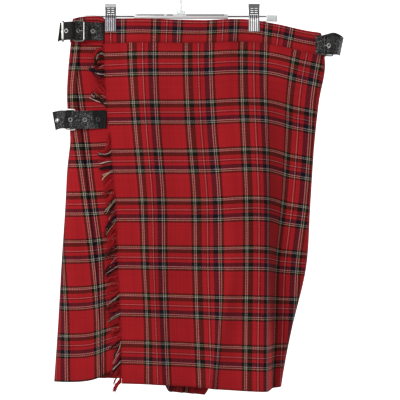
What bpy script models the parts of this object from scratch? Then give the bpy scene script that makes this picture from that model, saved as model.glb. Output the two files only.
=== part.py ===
"""A red tartan kilt, hung flat by its waist from a hanger with two steel clips.

The kilt is one wrapped length of cloth. From the viewer's side it has a plain over apron whose left
edge is fringed, an under apron behind it, a first pleat that comes round the left side, and eighteen
knife pleats across the back. A waistband runs round the top, and three leather straps close it.

Frame: metres, +Z up, X to the viewer's right, -Y towards the viewer, and the origin where a rail
touches the inside of the hanger's hook. Sizes below are millimetres, and "drop" is how far down the
cloth a row lies from the top of the waistband.
"""

import math

import bmesh
import bpy
import numpy as np

MM = 0.001

# Cloth, seams and leather.
CLOTH = 1.2  # thickness of the tartan
BAND = 1.4  # thickness of the waistband's own layer
SEAM_GAP = 0.4  # air between two pieces that lie on each other
WAIST_BELOW_HOOK = 100.0  # from the hook's seat down to the top of the waistband
LENGTH = 652.0  # cut length of the kilt, waist to hem
BAND_DEPTH = 41.0  # height of the waistband
STRAP_WIDTH = 32.0
LEATHER = 2.4

# The hang of the kilt: where its edges lie at each drop, how far the front has come forward and the
# back has gone back from the pinch of the clips, and how thick the pack of pleats is.
HANG = np.array(
    [  # drop, left side, first pleat, fringed edge, right side, front fall, back fall, pleat pack
        (0.0, -189.2, -175.0, -134.6, 245.5, 0.0, 0.0, 6.2),
        (51.0, -195.4, -180.0, -134.6, 254.3, 1.0, 1.0, 7.0),
        (125.0, -201.0, -184.8, -131.1, 243.8, 8.0, 5.0, 9.0),
        (192.0, -199.8, -177.4, -125.5, 236.7, 13.0, 7.5, 10.2),
        (311.0, -202.9, -164.6, -114.4, 228.8, 20.0, 10.5, 11.8),
        (433.0, -210.3, -151.7, -109.3, 220.9, 25.0, 13.0, 13.0),
        (545.0, -216.5, -144.3, -104.2, 196.2, 27.5, 14.5, 14.2),
        (652.0, -223.5, -141.5, -103.8, 175.1, 28.5, 15.5, 15.5),
    ]
)
DROP, LEFT, FIRST_PLEAT, FRINGED, RIGHT, FRONT_FALL, BACK_FALL, PACK = range(8)

# The over apron's three folds: where the middle of each lies across the cloth, and the width of
# cloth it swallows (its take). The deep fold also sets the cloth beyond it further back (its rise).
FOLDS = np.array(
    [  # drop, left middle, left take, mid middle, mid take, deep middle, deep take, deep rise
        (0.0, 66.0, 0.0, 214.0, 0.0, 315.0, 0.0, 0.0),
        (51.0, 66.0, 1.5, 214.0, 1.0, 315.0, 7.0, 5.0),
        (125.0, 66.0, 3.5, 214.0, 2.5, 315.0, 18.0, 15.0),
        (192.0, 66.0, 5.5, 214.0, 3.5, 315.0, 24.5, 21.0),
        (311.0, 66.0, 7.0, 214.0, 8.0, 314.0, 38.0, 29.0),
        (433.0, 64.0, 10.0, 214.0, 9.5, 315.0, 52.5, 36.0),
        (545.0, 64.0, 12.0, 195.0, 14.0, 316.0, 55.0, 38.0),
        (652.0, 68.0, 8.0, 174.0, 19.0, 317.0, 60.0, 36.0),
    ]
)
LEFT_MID, LEFT_TAKE, MIDDLE_MID, MIDDLE_TAKE, DEEP_MID, DEEP_TAKE, DEEP_RISE = range(1, 8)
LEFT_FOLD_WIDTH, MIDDLE_FOLD_WIDTH, DEEP_FOLD_WIDTH = 52.0, 46.0, 96.0
FOLD_SOFT = 0.25  # share of a fold's width over which its slope sets in
SMALL_FOLD_LIFT = 0.42  # how far a small fold's crest stands forward, against its width and take
DEEP_CREST = 7.0  # and the crest before the deep fold

# How far the cloth sags below level: rows are drops, columns are places across each panel.
SAG_DROPS = (0.0, 78.0, 336.0, LENGTH)
APRON_SAG_ACROSS = (0.0, 68.0, 167.0, 266.0, 300.0, 365.0, 400.0)
APRON_SAG = (
    (0.0, 1.0, 4.0, 3.5, 10.0, 24.0, 28.0),
    (4.0, 1.5, 0.5, -2.0, 0.5, 14.5, 24.0),
    (1.0, 1.0, 1.0, -2.0, 0.0, 10.0, 15.0),
    (-10.0, -8.0, -2.0, 4.0, 4.0, -1.0, -3.0),
)
LEFT_SAG_X = (-225.0, -150.0, -122.0, 110.0)
LEFT_SAG = (
    (0.0, 0.0, 0.0, 4.0),
    (0.0, 0.0, 0.0, 0.0),
    (0.0, -1.0, -3.0, -3.0),
    (-12.0, -18.0, -29.0, -30.0),
)
BACK_SAG_X = (-225.0, -60.0, 80.0, 175.0, 245.0)
BACK_SAG = (
    (0.0, 1.0, 4.0, 12.0, 28.0),
    (0.0, 0.0, 0.0, 10.0, 24.0),
    (0.0, 0.0, 0.0, 8.0, 15.0),
    (-16.0, -14.0, -4.0, -3.0, -3.0),
)
BACK_DIP = {"from": -28.0, "to": 48.0, "soft": 14.0, "depth": 20.0, "starts": 420.0}

# Depths at the clips, where the whole waist is pinched together.
FRONT_AT_CLIPS = -6.2  # middle of the over apron's cloth
BACK_AT_CLIPS = -0.5  # middle of the innermost cloth of the pleats
UNDER_BEHIND = 3.5  # under apron behind the over apron
UNDER_BEHIND_PLEAT = 4.4  # and behind the first pleat, whose turned edge lies between
UNDER_END = 150.0  # x at which the under apron stops
CLIP_X = (-124.5, 129.0)
PINCH_HALF = 15.0  # the waist stays flat this far each side of a clip's middle
WAIST_GAPE_FRONT = 6.0  # how far the waist opens between and beyond the clips
WAIST_GAPE_BACK = 6.5
GAPE_REACH = 32.0
GAPE_ENDS = 170.0  # the drop at which the waist's gape has blended into the fall

# Pleats.
PLEATS = 18
PLEAT_DEPTH = (0.78, 1.05)  # of the underfolds at waist and hem, as a share of the part that shows
FOLD_RADIUS = 1.3  # of the cloth's middle at a pleat's edge
BACK_WRAP = 26.0  # how far the over apron runs on behind, past the right side

# Fringe.
LOCKS = 80
FRINGE_TOP = 47.0  # drop of the first lock
STRIP_WIDTH = 2.2
LOCK_WIDTH = 3.0
LOCK_THICKNESS = 0.8
LOCK_AHEAD, LOCK_LAYER = 2.4, 1.1  # forward of the edge, and how much more in each of three layers
FRINGE_HANG = np.array(
    [  # drop of the root, degrees below level at the root and at the tip, length
        (47.0, 10.0, 40.0, 20.0),
        (54.0, -45.0, 100.0, 32.0),
        (61.0, -60.0, 150.0, 42.0),
        (69.0, -35.0, 100.0, 28.0),
        (80.0, -10.0, 50.0, 22.0),
        (90.0, 15.0, -45.0, 26.0),
        (96.0, 25.0, -60.0, 29.0),
        (110.0, 5.0, -45.0, 24.0),
        (130.0, -40.0, -50.0, 24.0),
        (147.0, -20.0, -38.0, 30.0),
        (157.0, -50.0, -30.0, 27.0),
        (200.0, 76.0, 74.0, 21.0),
        (220.0, 70.0, 58.0, 23.0),
        (235.0, 35.0, -30.0, 24.0),
        (252.0, 5.0, 20.0, 22.0),
        (264.0, 5.0, 15.0, 25.0),
        (271.0, 12.0, 55.0, 26.0),
        (292.0, 40.0, 55.0, 24.0),
        (318.0, 45.0, 58.0, 31.0),
        (340.0, 40.0, 70.0, 25.0),
        (351.0, 50.0, 62.0, 31.0),
        (376.0, 50.0, 60.0, 26.0),
        (408.0, 12.0, 45.0, 25.0),
        (425.0, 14.0, 65.0, 26.0),
        (442.0, 15.0, 40.0, 28.0),
        (464.0, 10.0, 30.0, 24.0),
        (490.0, 38.0, 50.0, 28.0),
        (508.0, 22.0, 22.0, 25.0),
        (525.0, 22.0, 42.0, 28.0),
        (550.0, 20.0, 40.0, 24.0),
        (576.0, 55.0, 62.0, 27.0),
        (611.0, 40.0, 62.0, 24.0),
        (652.0, 55.0, 64.0, 22.0),
    ]
)
ROOT, LEAN_AT_ROOT, LEAN_AT_TIP, REACH = range(4)
UNDER_STRAP = (158.0, 199.0)  # the drops between which the ends are tucked in under the hip strap

# Buckles and eyelets.
WIRE = 1.25  # radius of a buckle's wire
PRONG = 0.9  # radius
BUCKLE_HEIGHT = 38.0  # between the outsides of the frame
HOLE = 4.2  # width of a punched hole
EYELET_OUTER, EYELET_INNER, EYELET_HEIGHT = 4.0, 1.9, 0.7

# Hanger.
ROD_RADIUS = 1.6
ROD_Z = -95.6
ROD_END = 150.5
BEAM_HALF = 83.0
BEAM_HEIGHT, BEAM_DEPTH = 8.3, 7.0
BOSS_TOP = -86.0
HOOK_WIRE = 2.6  # radius
HOOK_INNER = 19.0  # inner radius of the hook's bend
CLIP_WIDTH = 18.6
CLIP_TOP, CLIP_FOOT = -74.0, -122.6
PLATE = 1.1  # thickness of a clip's plates
JAW = 9.95  # from the hanger's middle plane to the middle of a closed jaw
RIB = 0.5  # how far a jaw's ribs stand out
SPRING_HALF, SPRING_RADIUS = 6.0, 3.0


# ---------------------------------------------------------------- small tools


def through(knots, values, at):
    """The smooth curve through a table's rows: cubic between rows, with slopes from the neighbours."""
    knots = np.asarray(knots, float)
    values = np.asarray(values, float)
    at = np.clip(np.asarray(at, float), knots[0], knots[-1])
    slopes = np.gradient(values, knots)
    i = np.clip(np.searchsorted(knots, at) - 1, 0, len(knots) - 2)
    span = knots[i + 1] - knots[i]
    t = (at - knots[i]) / span
    start = (1 + 2 * t) * (1 - t) ** 2 * values[i] + t * (1 - t) ** 2 * span * slopes[i]
    end = t * t * (3 - 2 * t) * values[i + 1] + t * t * (t - 1) * span * slopes[i + 1]
    return start + end


def ease(t):
    """0 below 0, 1 above 1, and a smooth step between."""
    t = np.clip(t, 0.0, 1.0)
    return t * t * (3 - 2 * t)


def hang(column, drop):
    return through(HANG[:, DROP], HANG[:, column], drop)


def fold(column, drop):
    return np.maximum(through(FOLDS[:, 0], FOLDS[:, column], drop), 0.0)


def table_at(columns, table, place, drop):
    """Reads a sag table at a place across and a drop, smooth both ways."""
    rows = [through(columns, row, place) for row in table]
    share = through(SAG_DROPS, np.arange(len(SAG_DROPS)), drop)
    low = np.clip(np.floor(share).astype(int), 0, len(rows) - 2)
    stacked = np.array([np.broadcast_to(row, np.shape(share * place)) for row in rows])
    lower = np.take_along_axis(stacked, np.broadcast_to(low, stacked.shape[1:])[None], 0)[0]
    upper = np.take_along_axis(stacked, np.broadcast_to(low + 1, stacked.shape[1:])[None], 0)[0]
    return lower + (upper - lower) * (share - low)


def height(drop, sag):
    return -(WAIST_BELOW_HOOK + drop + sag)


def material(name, colour, roughness, metallic=0.0, alpha=1.0):
    made = bpy.data.materials.new(name)
    made.use_nodes = True
    shader = made.node_tree.nodes["Principled BSDF"]
    shader.inputs["Base Color"].default_value = (*colour, 1.0)
    shader.inputs["Roughness"].default_value = roughness
    shader.inputs["Metallic"].default_value = metallic
    shader.inputs["Alpha"].default_value = alpha
    return made


def link(name, mesh, finish, smooth=True):
    """Makes the object for one piece, from a mesh in millimetres."""
    mesh.transform(((MM, 0, 0, 0), (0, MM, 0, 0), (0, 0, MM, 0), (0, 0, 0, 1)))
    obj = bpy.data.objects.new(name, mesh)
    bpy.context.scene.collection.objects.link(obj)
    mesh.materials.append(finish)
    if smooth:
        mesh.shade_smooth()
        mesh.set_sharp_from_angle(angle=math.radians(40))
    return obj


def outward(line):
    """Unit normals in plan of each section line, to the right of its direction of travel.

    At a corner the normal is the mitre, so that moving out keeps a wall's thickness."""
    step = np.diff(line[..., :2], axis=-2)
    step /= np.linalg.norm(step, axis=-1, keepdims=True)
    side = np.stack([step[..., 1], -step[..., 0]], axis=-1)
    before = np.concatenate([side[..., :1, :], side], axis=-2)
    after = np.concatenate([side, side[..., -1:, :]], axis=-2)
    mitre = before + after
    mitre /= np.linalg.norm(mitre, axis=-1, keepdims=True)
    return mitre / np.maximum((mitre * after).sum(-1, keepdims=True), 0.6)


def moved_out(line, distance):
    """The same section lines, a distance further out."""
    moved = line.copy()
    moved[..., :2] += outward(line) * distance
    return moved


def solid(name, points, faces, finish, smooth=True):
    """One closed piece from its points and faces, with its faces turned outwards."""
    mesh = bpy.data.meshes.new(name)
    mesh.from_pydata(np.asarray(points).tolist(), [], [tuple(int(i) for i in face) for face in faces])
    bm = bmesh.new()
    bm.from_mesh(mesh)
    bmesh.ops.delete(bm, geom=[v for v in bm.verts if not v.link_faces], context="VERTS")
    bmesh.ops.recalc_face_normals(bm, faces=bm.faces)
    bm.to_mesh(mesh)
    bm.free()
    return link(name, mesh, finish, smooth)


def wall(name, line, thickness, finish, holes=()):
    """A closed wall of cloth, leather or plate round the middle surface given by rows of sections.

    Cells listed in holes, as (row, column), are left open and get rims like the outer edges."""
    outer = moved_out(line, thickness / 2)
    inner = moved_out(line, -thickness / 2)
    rows, columns = line.shape[:2]
    points = np.concatenate([outer.reshape(-1, 3), inner.reshape(-1, 3)])
    front = np.arange(rows * columns).reshape(rows, columns)
    back = front + rows * columns
    faces = []

    def filled(r, c):
        return 0 <= r < rows - 1 and 0 <= c < columns - 1 and (r, c) not in holes

    for r in range(rows - 1):
        for c in range(columns - 1):
            if not filled(r, c):
                continue
            a, b, d, e = (r, c), (r, c + 1), (r + 1, c + 1), (r + 1, c)
            faces.append((front[a], front[e], front[d], front[b]))
            faces.append((back[a], back[b], back[d], back[e]))
            rims = (((r - 1, c), a, b), ((r, c + 1), b, d), ((r + 1, c), d, e), ((r, c - 1), e, a))
            for beyond, p, q in rims:
                if not filled(*beyond):
                    faces.append((front[p], front[q], back[q], back[p]))
    return solid(name, points, faces, finish)


# ---------------------------------------------------------------- depths of the hanging cloth


def gape(x):
    """How far the waist stands open at x: 0 in each clip, 1 midway between and well beyond them."""
    left, right = CLIP_X
    reach = np.minimum(np.abs(x - left), np.abs(x - right)) - PINCH_HALF
    return ease(reach / GAPE_REACH)


def front_y(x, drop):
    """Depth of the over apron's middle surface, before its folds."""
    opened = WAIST_GAPE_FRONT * gape(x) * (1 - ease(drop / GAPE_ENDS))
    return FRONT_AT_CLIPS - opened - hang(FRONT_FALL, drop)


def back_y(x, drop):
    """Depth of the innermost cloth of the pleats."""
    opened = WAIST_GAPE_BACK * gape(x) * (1 - ease(drop / GAPE_ENDS))
    return BACK_AT_CLIPS + opened + hang(BACK_FALL, drop)


# ---------------------------------------------------------------- over apron


def ramp(t):
    """0 to 1 with a straight middle and soft ends, so that its slope never exceeds 1/(1 - soft)."""
    t = np.clip(t, 0.0, 1.0)
    soft = FOLD_SOFT
    top = 1.0 / (1.0 - soft)
    start = 0.5 * top * t * t / soft
    end = 1.0 - 0.5 * top * (1 - t) ** 2 / soft
    return np.where(t < soft, start, np.where(t > 1 - soft, end, top * (t - 0.5 * soft)))


def fold_step(across, middle, width):
    """0 before a fold, 1 after it."""
    return ramp((across - middle) / width + 0.5)


def crest(across, middle, width):
    """1 on a fold's crest, 0 away from it."""
    return np.exp(-(((across - middle) / (0.5 * width)) ** 2))


def apron_front(across, drop):
    """x and y of the over apron in front, from the width of cloth across from its fringed edge."""
    left, left_take = fold(LEFT_MID, drop), fold(LEFT_TAKE, drop)
    mid, mid_take = fold(MIDDLE_MID, drop), fold(MIDDLE_TAKE, drop)
    deep, deep_take = fold(DEEP_MID, drop), fold(DEEP_TAKE, drop)
    deep_step = fold_step(across, deep, DEEP_FOLD_WIDTH)
    x = hang(FRINGED, drop) + across
    x = x - left_take * fold_step(across, left, LEFT_FOLD_WIDTH)
    x = x - mid_take * fold_step(across, mid, MIDDLE_FOLD_WIDTH)
    x = x - deep_take * deep_step
    y = front_y(x, drop) + fold(DEEP_RISE, drop) * deep_step
    lift = SMALL_FOLD_LIFT * np.sqrt(left_take * LEFT_FOLD_WIDTH)
    y = y - lift * crest(across, left, LEFT_FOLD_WIDTH)
    lift = SMALL_FOLD_LIFT * np.sqrt(mid_take * MIDDLE_FOLD_WIDTH)
    y = y - lift * crest(across, mid, MIDDLE_FOLD_WIDTH)
    lift = DEEP_CREST * ease(drop / 300.0)
    y = y - lift * crest(across, deep - 0.45 * DEEP_FOLD_WIDTH, 0.6 * DEEP_FOLD_WIDTH)
    return x, y


def side_turn(start, end, reach, count):
    """A half turn in plan from one point to the other, bulging by reach along x."""
    angle = np.linspace(-0.5 * math.pi, 0.5 * math.pi, count)
    middle = (start + end) / 2
    half = (end - start) / 2
    turn = middle[None] + np.sin(angle)[:, None] * half[None]
    turn[:, 0] += reach * np.cos(angle)
    return turn


def right_turn(drop):
    """Where the over apron goes round behind: x of the turn, y of the wrap behind, and the radius."""
    right = hang(RIGHT, drop)
    wrap_y = back_y(right, drop) + hang(PACK, drop) + 1.6
    end_y = front_y(right, drop) + fold(DEEP_RISE, drop)
    radius = (wrap_y - end_y) / 2
    return right - radius, wrap_y, radius


def apron_row(drop, front_columns, turn_columns):
    """One section of the over apron: front, right side, and its turned edge behind the pleats."""
    taken = sum(fold(column, drop) for column in (LEFT_TAKE, MIDDLE_TAKE, DEEP_TAKE))
    turn_x, wrap_y, radius = right_turn(drop)
    across_at_turn = turn_x - hang(FRINGED, drop) + taken
    across = front_columns * across_at_turn
    x, y = apron_front(across, drop)
    front = np.stack([x, y], axis=1)
    turn_end = np.array([turn_x, wrap_y])
    turn = side_turn(front[-1], turn_end, radius, turn_columns)[1:]
    behind = turn_end + np.outer(np.linspace(0, 1, 4)[1:], (-BACK_WRAP, 0.0))
    run = np.concatenate([front, turn, behind])
    length = np.concatenate([[0], np.cumsum(np.linalg.norm(np.diff(run, axis=0), axis=1))])
    wide = length - length[len(front) - 1] + across_at_turn
    wide[: len(front)] = across
    sag = table_at(APRON_SAG_ACROSS, APRON_SAG, wide, np.full(len(wide), drop))
    return np.column_stack([run, height(drop, sag)])


def apron_columns():
    """Shares of the front's width at which the over apron has a column, closest in its folds."""
    return np.concatenate(
        [
            np.linspace(0.00, 0.09, 2, endpoint=False),
            np.linspace(0.09, 0.27, 7, endpoint=False),
            np.linspace(0.27, 0.42, 3, endpoint=False),
            np.linspace(0.42, 0.66, 9, endpoint=False),
            np.linspace(0.66, 0.98, 13, endpoint=False),
            np.linspace(0.98, 1.00, 1),
        ]
    )


APRON_DROPS = (0, 20, BAND_DEPTH, 80, 125, 160, 200, 255, 315, 375, 435, 490, 545, 600, LENGTH)


def apron_lines(drops, front_columns=None, turn_columns=8):
    columns = apron_columns() if front_columns is None else front_columns
    return np.array([apron_row(drop, columns, turn_columns) for drop in drops])


# ---------------------------------------------------------------- left side: first pleat, under apron


def left_turn(drop):
    """Plan points where the first pleat starts to turn behind and stops in front, and the reach."""
    x = hang(LEFT, drop)
    front = front_y(x, drop)
    behind = back_y(x, drop) + 0.5 * hang(PACK, drop)
    reach = (behind - front) / 2
    return np.array([x + reach, behind]), np.array([x + reach, front]), reach


def pleat_span(drop):
    """x of the back's right and left ends, what shows of each pleat, and how deep it is folded."""
    start = hang(RIGHT, drop) - 18.0
    behind, _, _ = left_turn(drop)
    end = behind[0] + 3.0
    shown = (start - end) / PLEATS
    share = PLEAT_DEPTH[0] + (PLEAT_DEPTH[1] - PLEAT_DEPTH[0]) * ease(drop / LENGTH)
    return start, end, shown, shown * share


def first_pleat_row(drop):
    """From under the last back pleat, round the left side, to the turned edge on the front."""
    behind, front, reach = left_turn(drop)
    _, last_edge, _, under = pleat_span(drop)
    start_x = last_edge + under - 2.0
    lead_x = np.linspace(start_x, behind[0], 4)[:-1]
    rise = behind[1] - back_y(behind[0], drop)
    lead_y = back_y(lead_x, drop) + rise * (start_x - lead_x) / (start_x - behind[0]) - 0.9
    lead = np.column_stack([lead_x, lead_y])
    angle = np.linspace(0, math.pi, 10)[:-1]
    middle = (behind + front) / 2
    half = (behind - front) / 2
    turn = middle + np.outer(np.cos(angle), half)
    turn[:, 0] -= reach * np.sin(angle)
    edge = hang(FIRST_PLEAT, drop)
    face_x = np.linspace(front[0], edge - FOLD_RADIUS, 5)
    face = np.column_stack([face_x, front_y(face_x, drop)])
    edge_y = face[-1, 1]
    back = np.clip(0.8 * (edge - front[0]), 2.5, 14.0)
    turned = np.array(
        [
            (edge - 0.1, edge_y + FOLD_RADIUS),
            (edge - FOLD_RADIUS, edge_y + 2 * FOLD_RADIUS),
            (edge - FOLD_RADIUS - back, edge_y + 2 * FOLD_RADIUS - 0.1),
        ]
    )
    run = np.concatenate([lead, turn, face, turned])
    sag = table_at(LEFT_SAG_X, LEFT_SAG, run[:, 0], np.full(len(run), drop))
    return np.column_stack([run, height(drop, sag)])


def under_row(drop, columns=9):
    start = hang(FIRST_PLEAT, drop) - 6.0 - 6.0 * ease(drop / 300.0)
    seen = hang(FRINGED, drop) + 25.0
    x = np.linspace(start, seen, columns)
    x = np.concatenate([x, np.linspace(seen, UNDER_END, columns + 1)[1:]])
    past_edge = ease((x - hang(FIRST_PLEAT, drop) - 6.0) / 26.0)
    behind = UNDER_BEHIND_PLEAT + (UNDER_BEHIND - UNDER_BEHIND_PLEAT) * past_edge
    sag = table_at(LEFT_SAG_X, LEFT_SAG, x, np.full(len(x), drop))
    return np.column_stack([x, front_y(x, drop) + behind, height(drop, sag)])


# ---------------------------------------------------------------- pleated back


def pleat_row(drop):
    """Knife pleats in plan, from the right end to the left, each edge lying over the next pleat."""
    start, _, shown, under = pleat_span(drop)
    pack = hang(PACK, drop)
    r = FOLD_RADIUS
    points = [(0.0, 0.42 * pack)]
    for i in range(PLEATS):
        edge = (i + 1) * shown
        if i:
            points.append((edge - 0.62 * (shown + under), 0.38 * pack))
        points += [
            (edge - r, pack),
            (edge, pack - r),
            (edge - r, pack - 2 * r),
            (edge - under + r, 2 * r),
            (edge - under, r),
        ]
        if i < PLEATS - 1:
            points.append((edge - under + r, 0.0))
    plan = np.array(points)
    x = start - plan[:, 0]
    y = back_y(x, drop) + plan[:, 1]
    return np.column_stack([x, y, height(drop, back_sag(x, drop))])


def back_sag(x, drop):
    level = table_at(BACK_SAG_X, BACK_SAG, x, np.full(len(x), drop))
    soft = BACK_DIP["soft"]
    inside = ease((x - BACK_DIP["from"]) / soft + 0.5) * ease((BACK_DIP["to"] - x) / soft + 0.5)
    low = ease((drop - BACK_DIP["starts"]) / (LENGTH - BACK_DIP["starts"]))
    return level + BACK_DIP["depth"] * inside * low


# ---------------------------------------------------------------- waistband


def left_band_row(drop):
    """Over the under apron, up across the first pleat, round the left side to the pleats."""
    behind, front, reach = left_turn(drop)
    clear = CLOTH / 2 + SEAM_GAP + BAND / 2
    start_x = hang(FRINGED, drop) - 1.2
    edge = hang(FIRST_PLEAT, drop)
    x = np.concatenate([np.linspace(start_x, edge + 6.0, 7), (edge - 1.0, front[0])])
    places = (front[0] - 1.0, edge - 1.0, edge + 6.0, edge + 16.0, start_x)
    lift = np.interp(x, places, (-clear, -clear, 0.0, UNDER_BEHIND - clear - 0.3, UNDER_BEHIND - clear))
    face = np.column_stack([x, front_y(x, drop) + lift])
    angle = np.linspace(0, math.pi, 9)[1:]
    middle = (behind + front) / 2
    half = (front - behind) / 2
    grown = half * (1 + clear / np.linalg.norm(half))
    turn = middle + np.outer(np.cos(angle), grown)
    turn[:, 0] -= (reach + clear) * np.sin(angle)
    run = np.concatenate([face, turn])[::-1]
    sag = table_at(LEFT_SAG_X, LEFT_SAG, run[:, 0], np.full(len(run), drop))
    return np.column_stack([run, height(drop, sag)])


def back_band_row(drop):
    _, end, _, _ = pleat_span(drop)
    turn_x, _, _ = right_turn(drop)
    x = np.linspace(turn_x - BACK_WRAP - 3.0, end + 0.5, 27)
    clear = hang(PACK, drop) + CLOTH / 2 + SEAM_GAP + BAND / 2
    return np.column_stack([x, back_y(x, drop) + clear, height(drop, back_sag(x, drop))])[::-1]


# ---------------------------------------------------------------- build: cloth

TARTAN = material("tartan", (0.42, 0.02, 0.03), 0.9)
BAND_DROPS = (-1.0, 20.0, BAND_DEPTH)


def build_cloth():
    wall("over_apron", apron_lines(APRON_DROPS), CLOTH, TARTAN)
    drops = (0, 20, BAND_DEPTH, 100, 160, 240, 330, 440, 550, LENGTH)
    wall("under_apron", np.array([under_row(d) for d in drops]), CLOTH, TARTAN)
    drops = (0, 41, 90, 140, 192, 250, 311, 372, 433, 490, 545, 600, LENGTH)
    wall("first_pleat", np.array([first_pleat_row(d) for d in drops]), CLOTH, TARTAN)
    drops = (0, 60, 140, 250, 380, 490, 580, LENGTH)
    wall("pleated_back", np.array([pleat_row(d) for d in drops])[:, ::-1], CLOTH, TARTAN)
    lines = moved_out(apron_lines(BAND_DROPS), CLOTH / 2 + SEAM_GAP + BAND / 2)
    wall("waistband_front", lines, BAND, TARTAN)
    wall("waistband_left", np.array([left_band_row(d) for d in BAND_DROPS]), BAND, TARTAN)
    wall("waistband_back", np.array([back_band_row(d) for d in BAND_DROPS]), BAND, TARTAN)


# ---------------------------------------------------------------- fringe


def apron_edge(drop):
    """Point and sideways direction of the over apron's fringed edge at a drop."""
    line = apron_row(drop, np.array([0.0, 0.02, 1.0]), 8)
    along = line[1, :2] - line[0, :2]
    return line[0], along / np.linalg.norm(along)


def build_fringe():
    """The backing strip with its locks of unwoven ends, drawn out of every second cell of the strip."""
    pitch = (LENGTH - 4.0 - FRINGE_TOP) / LOCKS
    drops = []
    for i in range(LOCKS):
        middle = FRINGE_TOP + (i + 0.5) * pitch
        drops += [middle - LOCK_WIDTH / 2, middle + LOCK_WIDTH / 2]
    drops = [FRINGE_TOP - 4.0] + drops + [LENGTH - 1.0]
    half = CLOTH / 2
    points, faces = [], []
    for drop in drops:
        edge, along = apron_edge(drop)
        side = np.array([along[1], -along[0]])
        right = edge[:2] - along * 0.35
        left = right - along * STRIP_WIDTH
        for spot in (right + side * half, left + side * half, left - side * half, right - side * half):
            points.append((spot[0], spot[1], edge[2]))
    rows = len(drops)
    middles = np.array([(drops[2 * i + 1] + drops[2 * i + 2]) / 2 for i in range(LOCKS)])
    locks = [i for i in range(LOCKS) if not UNDER_STRAP[0] < middles[i] < UNDER_STRAP[1]]
    for r in range(rows - 1):
        a, b = 4 * r, 4 * (r + 1)
        for k in range(4):
            drawn = k == 1 and r % 2 == 1 and r // 2 in locks
            if not drawn:
                faces.append((a + k, a + (k + 1) % 4, b + (k + 1) % 4, b + k))
    faces.append((0, 3, 2, 1))
    faces.append(tuple(4 * (rows - 1) + k for k in range(4)))
    shape = ((0.22, 0.50, 0.80), (0.66, 1.00, 0.75), (1.0, 0.40, 0.30))
    fine = np.linspace(0, 1, 61)
    for i in locks:
        r = 2 * i + 1
        ring = (4 * r + 1, 4 * r + 2, 4 * (r + 1) + 2, 4 * (r + 1) + 1)
        root = np.array([points[k] for k in ring]).mean(0)
        at_root, at_tip, reach = (
            through(FRINGE_HANG[:, ROOT], FRINGE_HANG[:, column], middles[i])
            for column in (LEAN_AT_ROOT, LEAN_AT_TIP, REACH)
        )
        angle = np.radians(at_root + (at_tip - at_root) * fine)
        run_x = np.cumsum(-np.cos(angle)) * reach / len(fine)
        run_z = np.cumsum(-np.sin(angle)) * reach / len(fine)
        for share, wide_share, thick_share in shape:
            bend = float(np.interp(share, fine, angle))
            spot = root + np.array([np.interp(share, fine, run_x), 0.0, np.interp(share, fine, run_z)])
            forward = -LOCK_AHEAD - LOCK_LAYER * (i % 3)
            forward += front_y(spot[0], -spot[2] - WAIST_BELOW_HOOK) - front_y(
                root[0], -root[2] - WAIST_BELOW_HOOK
            )
            spot[1] = root[1] + forward
            across = np.array([-math.sin(bend), 0.0, math.cos(bend)]) * 0.5 * LOCK_WIDTH * wide_share
            deep = np.array([0.0, 0.5 * LOCK_THICKNESS * thick_share, 0.0])
            first = len(points)
            points += [spot + across + deep, spot + across - deep, spot - across - deep]
            points.append(spot - across + deep)
            new = (first + 1, first, first + 3, first + 2)
            for k in range(4):
                faces.append((ring[k], ring[(k + 1) % 4], new[(k + 1) % 4], new[k]))
            ring = new
        faces.append(ring[::-1])
    solid("fringe", [tuple(map(float, q)) for q in points], faces, TARTAN)


# ---------------------------------------------------------------- round and flat bars


def frames_along(path, closed):
    """Unit tangent at each point of a path."""
    if closed:
        step = np.roll(path, -1, 0) - np.roll(path, 1, 0)
    else:
        step = np.gradient(path, axis=0)
    return step / np.linalg.norm(step, axis=1, keepdims=True)


def bar(name, path, section, finish, closed=False, up=(0.0, -1.0, 0.0)):
    """Sweeps a section, given as (along up, across) pairs, down a path; up lies across the path."""
    path = np.asarray(path, float)
    section = np.asarray(section, float)
    tangent = frames_along(path, closed)
    up = np.asarray(up, float)
    lift = up - tangent * (tangent @ up)[:, None]
    lift /= np.linalg.norm(lift, axis=1, keepdims=True)
    across = np.cross(tangent, lift)
    points = path[:, None] + lift[:, None] * section[None, :, :1] + across[:, None] * section[None, :, 1:]
    count, sides = len(path), len(section)
    number = np.arange(count * sides).reshape(count, sides)
    faces = []
    for i in range(count if closed else count - 1):
        j = (i + 1) % count
        for k in range(sides):
            m = (k + 1) % sides
            faces.append((number[i, k], number[i, m], number[j, m], number[j, k]))
    if not closed:
        faces.append(tuple(number[0][::-1]))
        faces.append(tuple(number[-1]))
    return solid(name, points.reshape(-1, 3), faces, finish)


def circle(radius, sides):
    angle = np.arange(sides) * 2 * math.pi / sides
    return np.column_stack([np.cos(angle), np.sin(angle)]) * radius


def sleeve(name, x0, x1, outer, inner_radius, finish):
    """A straight tube along the rod: an outer outline in (y, z), bored for the rod."""
    outer = np.asarray(outer, float)
    angle = np.arctan2(outer[:, 1], outer[:, 0])
    inner = np.column_stack([np.cos(angle), np.sin(angle)]) * inner_radius
    rings = [(x0, outer), (x1, outer), (x1, inner), (x0, inner)]
    count = len(outer)
    points = [(x, yz[0], yz[1] + ROD_Z) for x, ring in rings for yz in ring]
    faces = []
    for ring in range(4):
        after = (ring + 1) % 4
        for k in range(count):
            m = (k + 1) % count
            faces.append((ring * count + k, ring * count + m, after * count + m, after * count + k))
    return solid(name, points, faces, finish)


# ---------------------------------------------------------------- straps

BLACK_LEATHER = material("black_leather", (0.018, 0.018, 0.020), 0.42)
NICKEL = material("nickel", (0.72, 0.71, 0.69), 0.24, metallic=1.0)
STEEL = material("bright_steel", (0.66, 0.66, 0.65), 0.28, metallic=1.0)
CLEAR = material("clear_plastic", (0.82, 0.86, 0.88), 0.12, alpha=0.45)


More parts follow.
